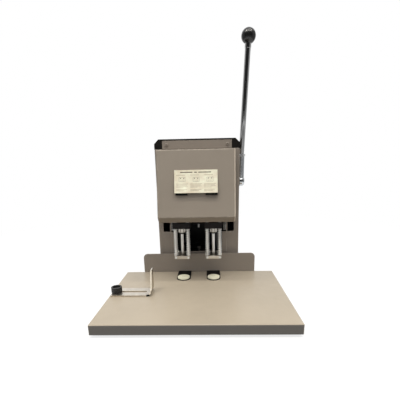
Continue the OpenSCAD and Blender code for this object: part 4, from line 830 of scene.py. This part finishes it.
ink_pale = moulded_finish("print_pale", (0.62, 0.55, 0.41), 0.5, 2600.0, depth=0.000004)
pale_print = to_mesh(bm, "plate_print_pale", ink_pale)
for mesh in (dark_print, pale_print):
    add_piece(mesh.name, mesh, "base")

SPACER_TALL, SPACER_LOW, SPACER_DEEP, SPACER_ROUND = 7.5, -26.4, 4.8, 0.7
SPACER_SPANS = ((-42.0, -17.5), (20.0, 43.5))
bm = bmesh.new()
for left, right in SPACER_SPANS:
    for vert in bmesh.ops.create_cube(bm, size=1)["verts"]:
        across, deep, up = (c + 0.5 for c in vert.co)
        vert.co = MM * (FACE_CENTRE + Vector((left + across * (right - left), 0, 0))
                        + (SPACER_LOW + up * SPACER_TALL) * FACE_UP + deep * SPACER_DEEP * FACE_OUT)
bmesh.ops.bevel(bm, geom=bm.edges[:], offset=SPACER_ROUND * MM, segments=3, affect="EDGES", profile=0.5)
bmesh.ops.recalc_face_normals(bm, faces=bm.faces)
for face in bm.faces:
    face.smooth = True
spacer_rubber = moulded_finish(
    "spacer_rubber", (0.008, 0.008, 0.007), 0.85, 1900.0, depth=0.00012, gloss=0.2)
add_piece("plate_spacers", to_mesh(bm, "plate_spacers", spacer_rubber), "base")

# Top cap and fascia: a moulded black cap with chamfered corners closes the column. A grey painted plate is
# let into its front, held by two small painted screws. The zinc plated pan-head screws of the case, which
# hold both covers and the back gauge, are driven here too.

cap_plastic = moulded_finish(
    "cap_plastic", (0.011, 0.0095, 0.0075), 0.5, 900.0, edge=0.0012, gloss=0.22)
dress(cap_plastic, "top_cap")
# Painted shade: the fascia takes the darker body grey.
fascia_paint = paint_finish("fascia_paint", BODY_SHADE_GREY, 0.45, edge=0.0006)
dress(fascia_paint, "top_fascia")

FASCIA_SCREW_X, FASCIA_SCREW_Y, FASCIA_SCREW_Z = 70.0, 59.5, 326.45
COVER_SCREW_X, COVER_SCREW_Y, COVER_SCREW_Z = 80.3, 51.0, (184.4, 291.4)
REAR_SCREW_X, REAR_SCREW_Y, REAR_SCREW_Z = 90.5, 217.0, (82.0, 301.0)
GAUGE_SCREW_X, GAUGE_SCREW_Y, GAUGE_SCREW_Z = (44.0, 120.0), 44.5, 18.0
drive("fascia_pan_screws", screw_form, fascia_paint, [
    ((s * FASCIA_SCREW_X, FASCIA_SCREW_Y, FASCIA_SCREW_Z), (0, -1, 0)) for s in (-1, 1)],
    seed=5)
drive("case_pan_screws", screw_form, zinc, [
    *(((s * COVER_SCREW_X, COVER_SCREW_Y, z), (s, 0, 0)) for s in (-1, 1) for z in COVER_SCREW_Z),
    *(((s * REAR_SCREW_X, REAR_SCREW_Y, z), (0, 1, 0)) for s in (-1, 1) for z in REAR_SCREW_Z),
    *(((s * x, GAUGE_SCREW_Y, GAUGE_SCREW_Z), (0, 1, 0)) for s in (-1, 1) for x in GAUGE_SCREW_X)],
    seed=7, stands_for=["housing_screws"])

# Lever: a satin chromed hub on the shaft's right end takes a bright chromed rod with a lock nut.
# A moulded black ball is screwed on the rod's end. The shaft's pinion drives the rack.

chrome = metal_finish(
    "chrome", (0.72, 0.72, 0.72), 0.07, (90.0, 90.0, 60.0), tarnish=0.9, depth=0.0000004)
satin_chrome = metal_finish(
    "satin_chrome", (0.6, 0.62, 0.64), 0.16, (90.0, 90.0, 60.0), tarnish=0.9, edge=0.0008,
    depth=0.0000001)
ball_black = moulded_finish("ball_black", (0.018, 0.018, 0.018), 0.2, 300.0, depth=0.000004, gloss=0.55)
dress(turned_steel, "lever_shaft")
dress(gear_steel, "lever_pinion")
dress(chrome, "lever_nut", "lever_rod")
dress(satin_chrome, "lever_hub")
dress(ball_black, "lever_knob")

# Studio: a pale floor that fades into a white surround, two rows of trough lamps overhead and the camera.
# A curved card of graded grey round the front, seen only in mirrors, is the room that the chrome shows.

FLOOR_SIZE, FLOOR_NEAR, FLOOR_FAR, FLOOR_GLOW = 30.0, 0.3, 1.1, 0.74
FLOOR_PALE, FLOOR_NONE, FLOOR_DIM = (0.3, 0.3, 0.3), (0.0, 0.0, 0.0), (0.08, 0.08, 0.08, 1)


def stage_sheet(name, corners, faces):
    """A flat or folded stage piece."""
    mesh = bpy.data.meshes.new(name)
    mesh.from_pydata(corners, [], faces)
    made = put(name, mesh)
    made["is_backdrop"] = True
    return made


def seen_directly(tree):
    """One for rays that show the surround itself: from the camera, in a mirror or through glass."""
    path = add_node(tree, "ShaderNodeLightPath")
    both = add_node(
        tree, "ShaderNodeMath", {0: path["Is Camera Ray"], 1: path["Is Glossy Ray"]}, operation="MAXIMUM")[0]
    return add_node(tree, "ShaderNodeMath", {0: both, 1: path["Is Transmission Ray"]}, operation="MAXIMUM")[0]


floor = stage_sheet("floor", [
    (x * FLOOR_SIZE, y * FLOOR_SIZE, 0) for x, y in ((-1, -1), (1, -1), (1, 1), (-1, 1))], [(0, 1, 2, 3)])
floor_finish, tree, shader = start_finish("floor_white")
tree.nodes.remove(shader)
reach = add_node(tree, "ShaderNodeVectorMath", {0: object_place(tree)}, operation="LENGTH")["Value"]
glow = remap(tree, reach, FLOOR_NEAR, FLOOR_FAR, FLOOR_GLOW, 1.0)
glow = add_node(tree, "ShaderNodeEmission", {"Strength": glow})[0]
pale_colour = blend_colour(tree, remap(tree, reach, FLOOR_NEAR, FLOOR_FAR), FLOOR_PALE, FLOOR_NONE)
pale = add_node(tree, "ShaderNodeBsdfDiffuse", {"Color": pale_colour})[0]
white = add_node(tree, "ShaderNodeAddShader", {0: glow, 1: pale})[0]
dim = add_node(tree, "ShaderNodeBsdfDiffuse", values={"Color": FLOOR_DIM})[0]
mixed = add_node(tree, "ShaderNodeMixShader", {"Fac": seen_directly(tree), 1: dim, 2: white})[0]
tree.links.new(mixed, tree.nodes["Material Output"].inputs["Surface"])
floor.data.materials.append(floor_finish)

CARD_RADIUS, CARD_X, CARD_Y, CARD_REACH, CARD_STEPS = 0.9, 0.05, 0.12, 125, 50
CARD_ROWS = ((0.004, 0.16), (0.13, 0.16), (0.17, 0.42), (0.21, 0.42), (0.25, 0.2), (0.29, 0.22),
             (0.3, 0.48), (0.32, 0.48), (0.34, 0.025), (1.3, 0.008))
CORE_LEFT, CORE_RIGHT, CORE_FADE, SIDE_TONE = -62, 52, 14, 0.36
bend = [CARD_REACH * (2 * i / CARD_STEPS - 1) for i in range(CARD_STEPS + 1)]
card = stage_sheet("dark_card", [
    (CARD_X + CARD_RADIUS * math.sin(math.radians(a)), CARD_Y - CARD_RADIUS * math.cos(math.radians(a)), z)
    for z, _ in CARD_ROWS for a in bend],
    [(i, i + 1, i + len(bend) + 1, i + len(bend)) for row in range(len(CARD_ROWS) - 1)
     for i in range(row * len(bend), row * len(bend) + CARD_STEPS)])
card.data.attributes.new("tone", "FLOAT", "POINT").data.foreach_set("value", [
    core + (SIDE_TONE - core) * min(1, max(0, CORE_LEFT - a, a - CORE_RIGHT) / CORE_FADE)
    for _, core in CARD_ROWS for a in bend])
card_finish, tree, shader = start_finish("card_grey")
tree.nodes.remove(shader)
clear = add_node(tree, "ShaderNodeBsdfTransparent")[0]
room = add_node(tree, "ShaderNodeEmission", {
    "Strength": add_node(tree, "ShaderNodeAttribute", attribute_name="tone")["Fac"]})[0]
mixed = add_node(tree, "ShaderNodeMixShader", {
    "Fac": add_node(tree, "ShaderNodeLightPath")["Is Glossy Ray"], 1: clear, 2: room})[0]
tree.links.new(mixed, tree.nodes["Material Output"].inputs["Surface"])
card.data.materials.append(card_finish)

SKY_LEVEL = 0.75
world = bpy.data.worlds.new("surround")
bpy.context.scene.world = world
world.use_nodes = True
tree = world.node_tree
strength = remap(tree, seen_directly(tree), 0.0, 1.0, SKY_LEVEL, 1.0)
tree.links.new(strength, tree.nodes["Background"].inputs["Strength"])
tree.nodes["Background"].inputs["Color"].default_value = (1, 1, 1, 1)

LAMP_LONG, LAMP_DEEP, LAMP_COLOUR = 1.0, 0.2, (1.0, 0.96, 0.88)
LAMP_ROWS = ((-0.6, 2.8, 1.28, 18.0, 9.0), (-1.22, 2.55, 1.2, 8.5, 7.0))
for y, z, spread, side_watts, middle_watts in LAMP_ROWS:
    for x, watts in ((-spread, side_watts), (0.0, middle_watts), (spread, side_watts)):
        lamp = bpy.data.lights.new("overhead_lamp", "AREA")
        lamp.shape, lamp.size, lamp.size_y = "RECTANGLE", LAMP_LONG, LAMP_DEEP
        lamp.energy, lamp.color = watts, LAMP_COLOUR
        put("overhead_lamp", lamp).location = (x, y, z)

CAMERA_PLACE = (0.0240966, -0.662331, 0.2777173)
CAMERA_YAW, CAMERA_PITCH, CAMERA_ROLL = -0.0299, 0.268, 0.02
CAMERA_SENSOR, CAMERA_LENS, CAMERA_SHIFT, CAMERA_CLIP = 36.0, 26.848, 0.12074, (0.01, 100.0)
camera = bpy.data.cameras.new("camera")
camera.sensor_width, camera.lens, camera.shift_y = CAMERA_SENSOR, CAMERA_LENS, CAMERA_SHIFT
camera.clip_start, camera.clip_end = CAMERA_CLIP
camera_object = put("camera", camera)
camera_object.matrix_world = (
    Matrix.Translation(CAMERA_PLACE) @ Matrix.Rotation(-CAMERA_YAW, 4, "Z")
    @ Matrix.Rotation(math.pi / 2 - CAMERA_PITCH, 4, "X") @ Matrix.Rotation(-CAMERA_ROLL, 4, "Z"))
bpy.context.scene.camera = camera_object
bpy.context.scene.view_settings.view_transform = "Standard"

bpy.context.view_layer.update()
low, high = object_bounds()
